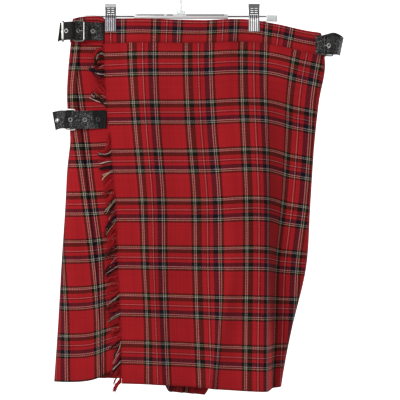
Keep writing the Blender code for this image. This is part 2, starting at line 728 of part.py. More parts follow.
def strap_path(knots, spacing, holes=()):
    """A smooth plan path through knots, with a cell of a hole's width nearest each place in holes."""
    knots = np.asarray(knots, float)
    chord = np.concatenate([[0], np.cumsum(np.linalg.norm(np.diff(knots[:, :2], axis=0), axis=1))])
    fine = np.linspace(0, chord[-1], 600)
    dense = np.column_stack([through(chord, knots[:, k], fine) for k in range(knots.shape[1])])
    length = np.concatenate([[0], np.cumsum(np.linalg.norm(np.diff(dense[:, :2], axis=0), axis=1))])
    middles = [length[np.argmin(np.hypot(*(dense[:, :2] - place).T))] for place in holes]
    stations = list(np.linspace(0, length[-1], max(3, round(length[-1] / spacing))))
    for middle in middles:
        stations = [t for t in stations if abs(t - middle) > HOLE]
        stations += [middle - HOLE / 2, middle + HOLE / 2]
    stations = np.array(sorted(stations))
    cells = [int(np.searchsorted(stations, middle) - 1) for middle in middles]
    return np.column_stack([np.interp(stations, length, column) for column in dense.T]), cells


def strap(name, knots, drop, holes=(), width=STRAP_WIDTH, lean=0.0, spacing=6.0):
    """A strap of leather on edge along a plan path; knots are (x, y, further drop, splay).

    lean is how far the strap comes forward for each millimetre down, to follow the cloth, and
    splay how far right its top edge stands of its bottom edge."""
    path, cells = strap_path(knots, spacing, holes)
    levels = (-width / 2, -HOLE / 2, HOLE / 2, width / 2)
    rows = []
    for level in levels:
        forward = path[:, 1] - lean * level
        along = path[:, 0] - path[:, 3] * level / width
        rows.append(np.column_stack([along, forward, height(drop + level, path[:, 2])]))
    line = np.array(rows)
    wall(name, line, LEATHER, BLACK_LEATHER, holes=[(1, c) for c in cells])
    spots = []
    for c in cells:
        middle = (line[1, c] + line[2, c + 1]) / 2
        step = line[1, c + 1, :2] - line[1, c, :2]
        facing = np.array([-step[1], step[0]]) / np.linalg.norm(step)
        spots.append((middle, facing))
    return spots


def eyelet(name, spot):
    """A nickel ring lying on the strap's face round a hole."""
    middle, facing = spot
    lift = LEATHER / 2 + 0.3
    ahead = np.array([facing[0], facing[1], 0.0])
    aside = np.array([-facing[1], facing[0], 0.0])
    up = np.array([0.0, 0.0, 1.0])
    radius = (EYELET_OUTER + EYELET_INNER) / 2
    angle = np.arange(12) * math.pi / 6
    centre = middle + ahead * (lift + EYELET_HEIGHT / 2)
    path = centre + radius * (np.cos(angle)[:, None] * aside + np.sin(angle)[:, None] * up)
    half, tall = (EYELET_OUTER - EYELET_INNER) / 2, EYELET_HEIGHT / 2
    section = ((-tall, -half), (-tall, half), (0.3 * tall, half), (tall, 0.0), (0.3 * tall, -half))
    bar(name, path, section, NICKEL, closed=True, up=ahead)


def buckle(name, drop, bar_end, roller_end, lean=0.0):
    """A rounded wire frame from its pivot bar to its roller bar, standing across the strap."""
    pivot, roll = np.asarray(bar_end, float), np.asarray(roller_end, float)
    axis = (roll - pivot) / np.linalg.norm(roll - pivot)
    half = BUCKLE_HEIGHT / 2 - WIRE
    z = height(drop, 0.0)
    corner = 4.0
    flat = []
    for centre, up_sign, out in ((pivot, 1, -1), (pivot, -1, -1), (roll, -1, 1), (roll, 1, 1)):
        flat.append((centre, up_sign * half, corner, out))
    path = []
    for centre, level, r, out in flat:
        turns = ((1, 0), (0.71, 0.29), (0.29, 0.71), (0, 1))
        order = turns if (out < 0) == (level > 0) else turns[::-1]
        for inward, down in order:
            spot = centre - axis * out * r * inward
            up = level - math.copysign(r * down, level)
            path.append((spot[0], spot[1] + lean * up, z + up))
    ahead = np.array([axis[1], -axis[0], 0.0])
    if ahead[1] > 0:
        ahead = -ahead
    bar(name, path, circle(WIRE, 8), NICKEL, closed=True, up=ahead)


# Plan paths of the straps: x, y, how far below the strap's own level, and how far right the top edge
# stands of the bottom edge. All run from the sewn end to the tip.
UPPER_STRAP = (
    (-135.8, -6.9, 0.0, 0.0),
    (-147.0, -8.7, 0.0, 0.0),
    (-160.0, -12.9, 0.0, 0.0),
    (-172.5, -16.6, 0.0, 0.0),
    (-179.0, -20.4, 0.0, 0.0),
    (-185.0, -25.6, 0.0, 0.0),
    (-191.0, -27.2, 0.0, 0.0),
    (-198.0, -25.8, 0.3, 0.0),
    (-204.0, -23.7, 0.6, 0.0),
    (-209.5, -20.9, 1.0, 0.0),
    (-213.4, -15.8, 1.6, 3.0),
    (-214.6, -8.0, 2.4, 4.5),
)
UPPER_CHAPE = (
    (-193.5, -22.5, 0.0, 0.0),
    (-188.8, -22.7, 0.0, 0.0),
    (-185.8, -19.6, 0.0, 0.0),
    (-188.8, -16.5, 0.0, 0.0),
    (-196.0, -15.9, 0.0, 0.0),
    (-202.0, -12.6, 0.5, 0.0),
    (-204.5, -5.0, 1.0, 0.0),
    (-202.0, 4.0, 1.0, 0.0),
    (-197.0, 10.2, 1.0, 0.0),
    (-191.0, 13.2, 1.0, 0.0),
)
UPPER_BAR, UPPER_ROLLER = (-188.8, -19.6), (-170.8, -20.4)
UPPER_HOLES = ((-155.8, -11.5), (-183.0, -21.8), (-201.0, -24.8))
HIP_STRAP = (
    (-131.4, -16.9, -0.9, 0.0),
    (-143.0, -17.9, -0.6, 0.0),
    (-160.0, -20.0, 0.0, 0.0),
    (-176.0, -21.8, 0.5, 0.0),
    (-183.0, -24.2, 0.6, 0.0),
    (-191.0, -27.4, 0.4, 0.0),
    (-203.0, -27.3, 0.0, 0.0),
    (-213.0, -21.8, 0.0, -1.5),
    (-223.4, -15.9, 2.4, -6.0),
)
HIP_CHAPE = (
    (-207.5, -21.9, 0.0, 0.0),
    (-203.0, -22.1, 0.0, 0.0),
    (-199.4, -18.6, 0.0, 0.0),
    (-203.0, -15.1, 0.0, 0.0),
    (-208.0, -12.8, 0.0, 0.0),
    (-209.5, -5.0, 0.0, 0.0),
    (-206.0, 3.0, 0.0, 0.0),
)
HIP_BAR, HIP_ROLLER = (-203.0, -18.6), (-186.0, -21.9)
HIP_HOLES = ((-146.1, -18.2), (-169.2, -21.1), (-194.0, -27.6), (-217.4, -19.3))
HIP_LEAN = 0.07
RIGHT_STRAP = (
    (232.0, 18.6, 0.0, 0.0),
    (246.0, 18.5, -3.5, 0.0),
    (260.0, 17.0, -7.4, 0.0),
    (271.0, 12.2, -9.4, 1.0),
    (279.5, 5.0, -4.5, 4.5),
    (282.8, -2.0, 0.0, 6.5),
    (281.0, -10.5, 0.0, 5.5),
    (275.5, -17.2, 0.0, 2.5),
    (268.0, -20.5, 0.0, 0.5),
    (262.0, -20.4, 0.0, 0.0),
    (257.0, -18.5, 0.0, 0.0),
    (252.0, -17.6, 0.0, 0.0),
    (245.0, -17.6, -0.6, 0.0),
    (237.0, -17.9, -1.6, 0.0),
)
RIGHT_CHAPE = (
    (241.0, -15.0, 0.0, 0.0),
    (252.0, -14.6, 0.0, 0.0),
    (262.0, -11.6, 0.0, 0.0),
    (268.0, -10.2, 0.0, 0.0),
    (271.2, -13.4, 0.0, 0.0),
    (268.0, -16.6, 0.0, 0.0),
    (262.5, -16.4, 0.0, 0.0),
)
RIGHT_BAR, RIGHT_ROLLER = (252.6, -21.9), (268.0, -13.4)
RIGHT_HOLES = ((260.2, -19.9),)
CHAPE_WIDTH = 0.8 * STRAP_WIDTH
UPPER_DROP, HIP_DROP, RIGHT_DROP = 22.4, 178.6, 48.4  # drops of the straps' middles
KEEPER_X, KEEPER_Y = -207.8, -21.5
KEEPER_BAND, KEEPER_PLATE = 2.0, 0.6  # half width along the strap, and half thickness


def prong(name, hole, rest):
    """The part of a buckle's prong that shows, from in front of its hole to where it rests."""
    middle, facing = hole
    start = middle[:2] + facing * (LEATHER / 2 + 0.3 + EYELET_HEIGHT + 1.4)
    path = [(start[0], start[1], middle[2]), (rest[0], rest[1], middle[2])]
    bar(name, path, circle(PRONG, 8), NICKEL, up=(0.0, 0.0, 1.0))


def build_straps():
    """Three straps, each with its buckle, the chape that holds the buckle, and its eyelets."""
    drop = UPPER_DROP
    holes = strap("upper_strap", UPPER_STRAP, drop, UPPER_HOLES)
    for i, spot in enumerate(holes):
        eyelet(f"upper_eyelet_{i + 1}", spot)
    strap("upper_chape", UPPER_CHAPE, drop, width=CHAPE_WIDTH, spacing=2.4)
    buckle("upper_buckle", drop, UPPER_BAR, UPPER_ROLLER)
    prong("upper_prong", holes[1], (UPPER_ROLLER[0], UPPER_ROLLER[1] - WIRE - PRONG - 0.3))
    half_y, half_z = LEATHER / 2 + 2.9, STRAP_WIDTH / 2 + 1.8
    corners = ((-1, -1), (1, -1), (1, 1), (-1, 1))
    loop = [(KEEPER_X, KEEPER_Y + a * half_y, height(drop, 1.0) + b * half_z) for a, b in corners]
    section = [(a * KEEPER_BAND, b * KEEPER_PLATE) for a, b in corners]
    bar("upper_keeper", loop, section, NICKEL, closed=True, up=(1.0, 0.0, 0.0))

    drop = HIP_DROP
    holes = strap("hip_strap", HIP_STRAP, drop, HIP_HOLES, lean=HIP_LEAN)
    for i, spot in enumerate(holes):
        eyelet(f"hip_eyelet_{i + 1}", spot)
    strap("hip_chape", HIP_CHAPE, drop, width=CHAPE_WIDTH, lean=HIP_LEAN, spacing=2.4)
    buckle("hip_buckle", drop, HIP_BAR, HIP_ROLLER, lean=HIP_LEAN)

    drop = RIGHT_DROP
    holes = strap("right_strap", RIGHT_STRAP, drop, RIGHT_HOLES)
    for i, spot in enumerate(holes):
        eyelet(f"right_eyelet_{i + 1}", spot)
    strap("right_chape", RIGHT_CHAPE, drop, width=CHAPE_WIDTH, spacing=2.4)
    buckle("right_buckle", drop, RIGHT_BAR, RIGHT_ROLLER)
    prong("right_prong", holes[0], (RIGHT_BAR[0] - 0.6, RIGHT_BAR[1] - WIRE - PRONG - 0.3))


# ---------------------------------------------------------------- hanger


def build_hanger():
    rod = [(x, 0.0, ROD_Z) for x in (-ROD_END, ROD_END)]
    bar("hanger_rod", rod, circle(ROD_RADIUS, 12), STEEL)
    outline = []
    flat, tall = BEAM_DEPTH / 2, BEAM_HEIGHT / 2
    corners = ((1, 0.45), (0.62, 1), (-0.62, 1), (-1, 0.45), (-1, -0.45), (-0.62, -1), (0.62, -1), (1, -0.45))
    for y, z in corners:
        outline.append((y * flat, z * tall))
    sleeve("hanger_beam", -BEAM_HALF, BEAM_HALF, outline, ROD_RADIUS + 0.3, CLEAR)
    wire = HOOK_INNER + HOOK_WIRE
    angle = np.radians(np.linspace(-52, 205, 19))
    bend = [(wire * math.cos(a), 0.0, -HOOK_INNER + wire * math.sin(a)) for a in angle]
    neck = [(0.0, 0.0, BOSS_TOP + 0.3), (0.0, 0.0, -60.0), (1.0, 0.0, -53.0), (5.0, 0.0, -44.5)]
    bar("hanger_hook", neck + bend, circle(HOOK_WIRE, 10), CLEAR)
    top = ROD_Z + BEAM_HEIGHT / 2 + 0.3
    boss = [(0.0, 0.0, top), (0.0, 0.0, BOSS_TOP)]
    section = [(4.0 * a, 8.0 * b) for a, b in circle(1.0, 14)]
    bar("hanger_boss", boss, section, CLEAR)
    for side, label in ((-1, "left"), (1, "right")):
        tab = [(side * (ROD_END + 0.4), 0.0, ROD_Z - 3.0), (side * (ROD_END + 19.0), 0.0, ROD_Z - 3.5)]
        bar(f"hanger_end_{label}", tab, [(2.1 * a, 5.6 * b) for a, b in circle(1.0, 12)], CLEAR)
    for centre, label in zip(CLIP_X, ("left", "right")):
        for face, side in (("front", -1), ("back", 1)):
            build_jaw(f"clip_{label}_{face}", centre, side)
        ends = (centre - SPRING_HALF, centre + SPRING_HALF)
        sleeve(f"clip_{label}_spring", *ends, circle(SPRING_RADIUS, 12), ROD_RADIUS + 0.3, STEEL)


def build_jaw(name, centre, side):
    """One ribbed plate of a clip: flared at the top with two rows of windows, closed on the cloth."""
    x = centre + CLIP_WIDTH * (np.arange(10) / 9.0 - 0.5)
    ribbed = RIB * np.array([0.0, 0.6, -0.6, 0.6, -0.6, 0.6, -0.6, 0.6, -0.6, 0.0])
    profile = (  # z, y from the hanger's middle plane, share of the ribs
        (CLIP_FOOT, JAW + 0.2, 0.0),
        (CLIP_FOOT + 2.0, JAW, 1.0),
        (-102.0, JAW, 1.0),
        (-98.6, JAW - 0.6, 0.5),
        (-95.0, 5.2, 0.0),
        (-92.6, 4.4, 0.0),
        (-90.8, 4.4, 0.0),
        (-86.0, 5.0, 0.0),
        (-83.2, 5.6, 0.0),
        (-78.4, 6.8, 0.0),
        (CLIP_TOP, 8.2, 0.0),
    )
    line = []
    for z, y, share in profile:
        flare = 1.0 + 0.06 * ease((z + 86.0) / 12.0)
        row_x = centre + (x - centre) * flare
        line.append(np.column_stack([row_x, side * (y + share * ribbed), np.full(10, z)]))
    line = np.array(line)
    windows = [(r, c) for r in (6, 8) for c in (1, 3, 5, 7)]
    wall(name, line, PLATE, STEEL, holes=windows)


def main():
    for obj in list(bpy.data.objects):
        bpy.data.objects.remove(obj, do_unlink=True)
    build_cloth()
    build_fringe()
    build_straps()
    build_hanger()


main()
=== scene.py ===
# %% [markdown]
# # A tartan kilt hanging from a clip hanger
#
# A kilt is one long strip of woollen twill: a plain over apron with a fringed edge, knife pleats
# round the back, a first deep pleat at the side and a plain under apron. Here each of those panels is
# a grid worked out from a few tables of the hang, with the weave laid on it in the cloth's own
# millimetres, so that the tartan bends, sags and vanishes into the folds with the cloth.
#
# Axes: +Z up, +X to the viewer's right, -Y towards the viewer. The origin is the seat of the hanger's
# hook. Sizes are millimetres until a mesh is made, and "drop" is how far down the cloth a point lies
# from the top of the waistband.

import math

import bmesh
import bpy
import numpy as np
from mathutils import Matrix, Vector


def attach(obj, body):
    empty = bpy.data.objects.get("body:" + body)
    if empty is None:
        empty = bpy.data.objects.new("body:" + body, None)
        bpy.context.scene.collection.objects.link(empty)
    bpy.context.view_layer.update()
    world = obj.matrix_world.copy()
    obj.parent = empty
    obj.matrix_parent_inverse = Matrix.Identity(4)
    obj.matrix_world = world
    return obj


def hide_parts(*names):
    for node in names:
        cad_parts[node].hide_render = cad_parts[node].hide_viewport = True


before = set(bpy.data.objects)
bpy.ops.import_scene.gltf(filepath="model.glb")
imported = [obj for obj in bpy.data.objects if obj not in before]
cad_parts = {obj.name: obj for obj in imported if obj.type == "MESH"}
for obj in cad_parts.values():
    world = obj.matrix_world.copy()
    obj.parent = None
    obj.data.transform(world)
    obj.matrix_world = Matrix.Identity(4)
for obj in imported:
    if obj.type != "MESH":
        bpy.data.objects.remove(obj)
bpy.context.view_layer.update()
MM = 0.001

# %% [markdown]
# ## Sizes
#
# The same sizes as the solids: a row of HANG gives the plan of the kilt at one drop, and a row of
# FOLDS gives its three large folds. A fold could be sculpted instead, but a table keeps it a size that
# can be changed. Everything else is worked out between the rows.

# %% Driving sizes
CLOTH = 1.2  # thickness of the tartan
BAND = 1.4  # thickness of the waistband's own layer
SEAM_GAP = 0.4  # air between a layer and the one sewn onto it
BAND_CLEAR = CLOTH / 2 + SEAM_GAP + BAND / 2  # from the middle of a panel's cloth to the middle of the band's
WAIST_BELOW_HOOK = 100.0
LENGTH = 652.0  # of the cloth, waist to hem
BAND_DEPTH = 41.0

HANG = np.array(
    [  # drop, left side, first pleat, fringed edge, right side, front fall, back fall, pleat pack
        (0.0, -189.2, -175.0, -134.6, 245.5, 0.0, 0.0, 6.2),
        (51.0, -195.4, -180.0, -134.6, 254.3, 1.0, 1.0, 7.0),
        (125.0, -201.0, -184.8, -131.1, 243.8, 8.0, 5.0, 9.0),
        (192.0, -199.8, -177.4, -125.5, 236.7, 13.0, 7.5, 10.2),
        (311.0, -202.9, -164.6, -114.4, 228.8, 20.0, 10.5, 11.8),
        (433.0, -210.3, -151.7, -109.3, 220.9, 25.0, 13.0, 13.0),
        (545.0, -216.5, -144.3, -104.2, 196.2, 27.5, 14.5, 14.2),
        (652.0, -223.5, -141.5, -103.8, 175.1, 28.5, 15.5, 15.5),
    ]
)
DROP, LEFT, FIRST_PLEAT, FRINGED, RIGHT, FRONT_FALL, BACK_FALL, PACK = range(8)

FOLDS = np.array(
    [  # drop, left middle, left take, mid middle, mid take, deep middle, deep take, deep rise
        (0.0, 66.0, 0.0, 214.0, 0.0, 315.0, 0.0, 0.0),
        (51.0, 66.0, 1.5, 214.0, 1.0, 315.0, 7.0, 5.0),
        (125.0, 66.0, 3.5, 214.0, 2.5, 315.0, 18.0, 15.0),
        (192.0, 66.0, 5.5, 214.0, 3.5, 315.0, 24.5, 21.0),
        (311.0, 66.0, 7.0, 214.0, 8.0, 314.0, 38.0, 29.0),
        (433.0, 64.0, 10.0, 214.0, 9.5, 315.0, 52.5, 36.0),
        (545.0, 64.0, 12.0, 195.0, 14.0, 316.0, 55.0, 38.0),
        (652.0, 68.0, 8.0, 174.0, 19.0, 317.0, 60.0, 36.0),
    ]
)
LEFT_MID, LEFT_TAKE, MIDDLE_MID, MIDDLE_TAKE, DEEP_MID, DEEP_TAKE, DEEP_RISE = range(1, 8)
print("cloth:", LENGTH, "mm long,", len(HANG), "sections known")

# %% [markdown]
# ## Curves through the tables
#
# Between two rows a value follows the cubic with matching slopes at both ends,
# (1+2t)(1-t)^2 a + t(1-t)^2 h a' + t^2(3-2t) b + t^2(t-1) h b',
# where h is the rows' spacing, so the cloth has no kinks where the rows lie. Straight lines between the
# rows would crease it all the way across.

# %% Interpolation
FOLD_SOFT = 0.25  # share of a fold's width at either side where its slope begins and ends
SAG_DROPS = (0.0, 78.0, 336.0, LENGTH)  # drops of the four rows of every table of sag


def through(knots, values, at):
    """The smooth curve through a table's rows, as in the formula above."""
    knots = np.asarray(knots, float)
    values = np.asarray(values, float)
    at = np.clip(np.asarray(at, float), knots[0], knots[-1])
    slopes = np.gradient(values, knots)
    i = np.clip(np.searchsorted(knots, at) - 1, 0, len(knots) - 2)
    span = knots[i + 1] - knots[i]
    t = (at - knots[i]) / span
    start = (1 + 2 * t) * (1 - t) ** 2 * values[i] + t * (1 - t) ** 2 * span * slopes[i]
    end = t * t * (3 - 2 * t) * values[i + 1] + t * t * (t - 1) * span * slopes[i + 1]
    return start + end


def blend(first, second, share):
    """The first value at share 0, the second at share 1, and straight between."""
    return first + (second - first) * share


def ease(t):
    """0 below 0, 1 above 1, and t^2 (3 - 2t) between."""
    t = np.clip(t, 0.0, 1.0)
    return t * t * (3 - 2 * t)


def ramp(t):
    """0 to 1 with a straight middle and soft ends, so that its slope never exceeds 1/(1 - soft)."""
    t = np.clip(t, 0.0, 1.0)
    top = 1.0 / (1.0 - FOLD_SOFT)
    start = 0.5 * top * t * t / FOLD_SOFT
    end = 1.0 - 0.5 * top * (1 - t) ** 2 / FOLD_SOFT
    middle = top * (t - 0.5 * FOLD_SOFT)
    return np.where(t < FOLD_SOFT, start, np.where(t > 1 - FOLD_SOFT, end, middle))


def hang(column, drop):
    """A column of HANG at any drop."""
    return through(HANG[:, DROP], HANG[:, column], drop)


def fold(column, drop):
    """A column of FOLDS at any drop, never below 0."""
    return np.maximum(through(FOLDS[:, DROP], FOLDS[:, column], drop), 0.0)


def sag_at(columns, table, place, drop):
    """Reads a table of sag, how far a place hangs below its level at the waist, smooth both ways."""
    rows = [through(columns, row, place) for row in table]
    share = float(through(SAG_DROPS, np.arange(len(SAG_DROPS)), drop))
    low = min(max(int(share), 0), len(rows) - 2)
    return blend(rows[low], rows[low + 1], share - low)


def height(drop, sag):
    """z of a point of the cloth: the waist's distance below the hook, its drop and its sag, all down."""
    return -(WAIST_BELOW_HOOK + drop + sag)


sides = [round(float(hang(column, 0.5 * LENGTH))) for column in (LEFT, RIGHT)]
print("halfway down, the sides are at x =", sides, "mm")

# %% [markdown]
# ## Moving a section out
#
# A waistband is cloth laid over cloth, so wherever the panel bends it bends on a slightly larger round.
# Scaling the panel up would lift it off unevenly. A section is a line in plan, and what lies on it is the
# same line moved out, its normals mitred at the corners, by the half thicknesses and the seam's gap.


# %% Section lines
def moved_out(line, distance):
    """The same lines further out, to the right of their direction of travel.

    A point moves along the mean of the normals on its two sides, by the distance over the cosine of half
    the bend, so that both sides keep the same gap."""
    step = np.diff(line[..., :2], axis=-2)
    step /= np.linalg.norm(step, axis=-1, keepdims=True)
    side = np.stack([step[..., 1], -step[..., 0]], axis=-1)
    before = np.concatenate([side[..., :1, :], side], axis=-2)
    after = np.concatenate([side, side[..., -1:, :]], axis=-2)
    mitre = before + after
    mitre /= np.linalg.norm(mitre, axis=-1, keepdims=True)
    moved = line.copy()
    moved[..., :2] += distance * mitre / np.maximum((mitre * after).sum(-1, keepdims=True), 0.6)
    return moved


def lengths(points):
    """Distance along a line of points, from 0 at its first."""
    steps = np.linalg.norm(np.diff(points, axis=0), axis=1)
    return np.concatenate([[0.0], np.cumsum(steps)])


def softened(line, rounds=2):
    """Rounds a line by cutting its corners: each round keeps a quarter and three quarters of every step."""
    for _ in range(rounds):
        near, far = (blend(line[:-1], line[1:], share) for share in (0.25, 0.75))
        middle = np.stack([near, far], axis=1).reshape(-1, line.shape[1])
        line = np.concatenate([line[:1], middle, line[-1:]])
    return line


def section(x, y, z, across, drop):
    """One row of a panel: its points' x, y and z, and the cloth's own two coordinates."""
    return np.column_stack([x, y, z, across, np.full(len(x), drop)])


corner = np.array([(0.0, 0.0), (1.0, 0.0), (1.0, 1.0)])
print("a corner of 2 mm of cloth, softened:", round(lengths(softened(corner))[-1], 2), "mm long")

# %% [markdown]
# ## Depth of the hanging cloth
#
# The clips pinch the waist shut. Beyond PINCH_HALF of a clip the waist gapes by the same soft step on
# both sides, and lower down the whole kilt opens as FRONT_FALL and BACK_FALL say. Small creases are
# long soft troughs and ridges, exp(-(a/w)^2) across the cloth, faded in and out along their length. Noise
# would crumple the cloth alike all over, but worsted falls in a few long lines, so each is placed.

# %% Depths and creases
FRONT_AT_CLIPS = -6.2  # y of the over apron where the clips hold it
BACK_AT_CLIPS = -0.5  # y of the innermost cloth of the pleats there
CLIP_X = (-124.5, 129.0)
PINCH_HALF = 15.0
WAIST_GAPE_FRONT, WAIST_GAPE_BACK = 6.0, 6.5
GAPE_REACH = 32.0  # across, from the end of a pinch to the full gape
GAPE_ENDS = 170.0  # drop at which the gape has faded into the hang

CREASES = np.array(
    [  # across at its top, across at its foot, top drop, foot drop, half width, height
        (24.0, 18.0, 90.0, 640.0, 10.0, 1.2),
        (118.0, 112.0, 55.0, 420.0, 13.0, -1.5),
        (96.0, 101.0, 330.0, 652.0, 9.0, 1.3),
        (150.0, 139.0, 60.0, 330.0, 12.0, 1.4),
        (139.0, 132.0, 300.0, 652.0, 11.0, -2.0),
        (184.0, 187.0, 45.0, 260.0, 11.0, -1.2),
        (243.0, 236.0, 70.0, 520.0, 12.0, 1.6),
        (262.0, 258.0, 260.0, 652.0, 10.0, -1.6),
        (292.0, 296.0, 42.0, 240.0, 11.0, 1.6),
        (352.0, 358.0, 60.0, 420.0, 12.0, -2.0),
        (374.0, 380.0, 120.0, 652.0, 9.0, 1.4),
        (46.0, 52.0, 430.0, 652.0, 8.0, -1.3),
        (214.0, 210.0, 500.0, 652.0, 9.0, 1.2),
    ]
)
CREASE_RISES, CREASE_DIES = 0.25, 0.3  # shares of its length over which a crease comes and goes
EDGE_SMOOTH = 30.0  # width of cloth beside an edge over which the creases fade


def gape(x, drop):
    """How far the waist stands open: 0 in each clip and low down, 1 midway between and well beyond them."""
    left, right = CLIP_X
    reach = np.minimum(np.abs(x - left), np.abs(x - right)) - PINCH_HALF
    return ease(reach / GAPE_REACH) * (1 - ease(drop / GAPE_ENDS))


def front_y(x, drop):
    """y of the over apron's middle surface, before its folds: forward by the gape and the fall."""
    return FRONT_AT_CLIPS - WAIST_GAPE_FRONT * gape(x, drop) - hang(FRONT_FALL, drop)


def back_y(x, drop):
    """y of the innermost cloth of the pleats: back by the gape and the fall."""
    return BACK_AT_CLIPS + WAIST_GAPE_BACK * gape(x, drop) + hang(BACK_FALL, drop)


def crest(across, middle, width):
    """exp(-(a / half the width)^2) at a distance a from the middle: 1 on a fold's crest, 0 away from it."""
    return np.exp(-(((across - middle) / (0.5 * width)) ** 2))


def creased(across, drop):
    """How far the small creases push the cloth out at one drop: the sum of height * fade * crest."""
    total = np.zeros_like(across)
    for top, foot, begins, ends, half_width, tall in CREASES:
        along = (drop - begins) / (ends - begins)
        fade = ease(along / CREASE_RISES) * (1.0 if ends >= LENGTH else ease((1 - along) / CREASE_DIES))
        middle = top + (foot - top) * np.clip(along, 0, 1)
        total += tall * fade * crest(across, middle, 2 * half_width)
    return total


opening = back_y(0.0, LENGTH) - front_y(0.0, LENGTH)
print("creases:", len(CREASES), "and the hem stands", round(float(opening)), "mm open")


# %% [markdown]
# ## The panels' sections
#
# Pattern pieces could be hung by simulation, but then no fold would lie where it should. So each panel
# is a stack of level sections instead. A function gives one section as x, y, z and the cloth's own two
# coordinates, across the cloth from a named edge and drop. The weave is laid by those two.
#
# Worn, the over apron is the plain front that shows. The first pleat comes round the left side from
# behind and ends in a turned edge, and the under apron, the cloth's other end, lies behind both.


# %% Over apron in front
SMALL_FOLDS = ((LEFT_MID, LEFT_TAKE, 52.0), (MIDDLE_MID, MIDDLE_TAKE, 46.0))  # middle, take, width
SMALL_FOLD_LIFT = 0.42
DEEP_FOLD_WIDTH = 96.0
DEEP_CREST, CREST_WHOLE_AT = 7.0, 300.0  # how far the deep fold's crest stands forward, from which drop
CREST_BEFORE, CREST_WIDTH = 0.45, 0.6  # how far left of the fold's middle, and how wide, in its widths


def fold_step(across, middle, width):
    """0 before a fold, 1 after it, by a ramp over its width."""
    return ramp((across - middle) / width + 0.5)


def apron_front(across, drop):
    """x and y of the over apron in front, from the width of cloth across from its fringed edge.

    Each fold takes cloth out of x by its take. A small one stands forward by a crest as high as
    0.42 sqrt(take * width), and the deep one sets all that lies right of it back by its rise."""
    deep = fold(DEEP_MID, drop)
    deep_step = fold_step(across, deep, DEEP_FOLD_WIDTH)
    x = hang(FRINGED, drop) + across - fold(DEEP_TAKE, drop) * deep_step
    tall = DEEP_CREST * ease(drop / CREST_WHOLE_AT)
    forward = tall * crest(across, deep - CREST_BEFORE * DEEP_FOLD_WIDTH, CREST_WIDTH * DEEP_FOLD_WIDTH)
    for middle_column, take_column, width in SMALL_FOLDS:
        middle, take = fold(middle_column, drop), fold(take_column, drop)
        x = x - take * fold_step(across, middle, width)
        forward = forward + SMALL_FOLD_LIFT * np.sqrt(take * width) * crest(across, middle, width)
    return x, front_y(x, drop) + fold(DEEP_RISE, drop) * deep_step - forward


print("over apron: its fringed edge meets the hem at x =", float(apron_front(0.0, LENGTH)[0]), "mm")

# %% Over apron, round the right side
BACK_WRAP = 26.0  # how far the apron runs on behind at the right
WRAP_CLEAR = 1.6  # from the pleats' outermost fold to that run
APRON_SAG_ACROSS = (0.0, 68.0, 167.0, 266.0, 300.0, 365.0, 400.0)
APRON_SAG = (
    (0.0, 1.0, 4.0, 3.5, 10.0, 24.0, 28.0),
    (4.0, 1.5, 0.5, -2.0, 0.5, 14.5, 24.0),
    (1.0, 1.0, 1.0, -2.0, 0.0, 10.0, 15.0),
    (-10.0, -8.0, -2.0, 4.0, 4.0, -1.0, -3.0),
)


def right_turn(drop):
    """Where the over apron goes round behind: x of the turn, y of the wrap behind, and the radius."""
    right = hang(RIGHT, drop)
    wrap_y = back_y(right, drop) + hang(PACK, drop) + WRAP_CLEAR
    end_y = front_y(right, drop) + fold(DEEP_RISE, drop)
    radius = (wrap_y - end_y) / 2
    return right - radius, wrap_y, radius


def apron_row(drop, front_columns=230, turn_columns=26, wrap_columns=10, crease=1.0):
    """One section of the over apron: front, a half turn round the right side, and the wrap behind."""
    taken = sum(fold(column, drop) for column in (LEFT_TAKE, MIDDLE_TAKE, DEEP_TAKE))
    turn_x, wrap_y, radius = right_turn(drop)
    across = np.linspace(0, 1, front_columns) * (turn_x - hang(FRINGED, drop) + taken)
    x, y = apron_front(across, drop)
    inside = ease(across / EDGE_SMOOTH) * ease((across[-1] - across) / EDGE_SMOOTH)
    front = np.stack([x, y - crease * inside * creased(across, drop)], axis=1)
    angle = np.linspace(-0.5 * math.pi, 0.5 * math.pi, turn_columns)[1:, None]
    end = np.array([turn_x, wrap_y])
    turn = (front[-1] + end) / 2 + np.sin(angle) * (end - front[-1]) / 2
    turn[:, 0] += radius * np.cos(angle[:, 0])
    behind = end - np.outer(np.linspace(0, 1, wrap_columns + 1)[1:], (BACK_WRAP, 0.0))
    run = np.concatenate([front, turn, behind])
    wide = lengths(run)
    wide = wide - wide[len(front) - 1] + across[-1]
    wide[: len(front)] = across
    sag = sag_at(APRON_SAG_ACROSS, APRON_SAG, wide, drop)
    return section(*run.T, height(drop, sag), wide, drop)


print("over apron: cut", round(apron_row(LENGTH)[-1, 3]), "mm wide at its hem")


# %% Left side and back's spans
LEFT_SAG_X = (-225.0, -150.0, -122.0, 110.0)
LEFT_SAG = (
    (0.0, 0.0, 0.0, 4.0),
    (0.0, 0.0, 0.0, 0.0),
    (0.0, -1.0, -3.0, -3.0),
    (-12.0, -18.0, -29.0, -30.0),
)
PLEATS = 18
PLEAT_DEPTH = (0.78, 1.05)  # of a pleat's width that shows, at the waist and at the hem
BACK_INSET = (18.0, 3.0)  # from the right side and from the left turn to the ends of the pleats
SIDE_DENT, DENT_AT, DENT_REACH = 4.5, 213.0, 36.0


def left_turn(drop):
    """Plan points where the first pleat starts to turn behind and stops in front, and the reach.

    The side is drawn in below the hip strap by SIDE_DENT exp(-((drop - DENT_AT) / DENT_REACH)^2)."""
    x = hang(LEFT, drop) + SIDE_DENT * math.exp(-(((drop - DENT_AT) / DENT_REACH) ** 2))
    front = front_y(x, drop)
    behind = back_y(x, drop) + 0.5 * hang(PACK, drop)
    reach = (behind - front) / 2
    return np.array([x + reach, behind]), np.array([x + reach, front]), reach


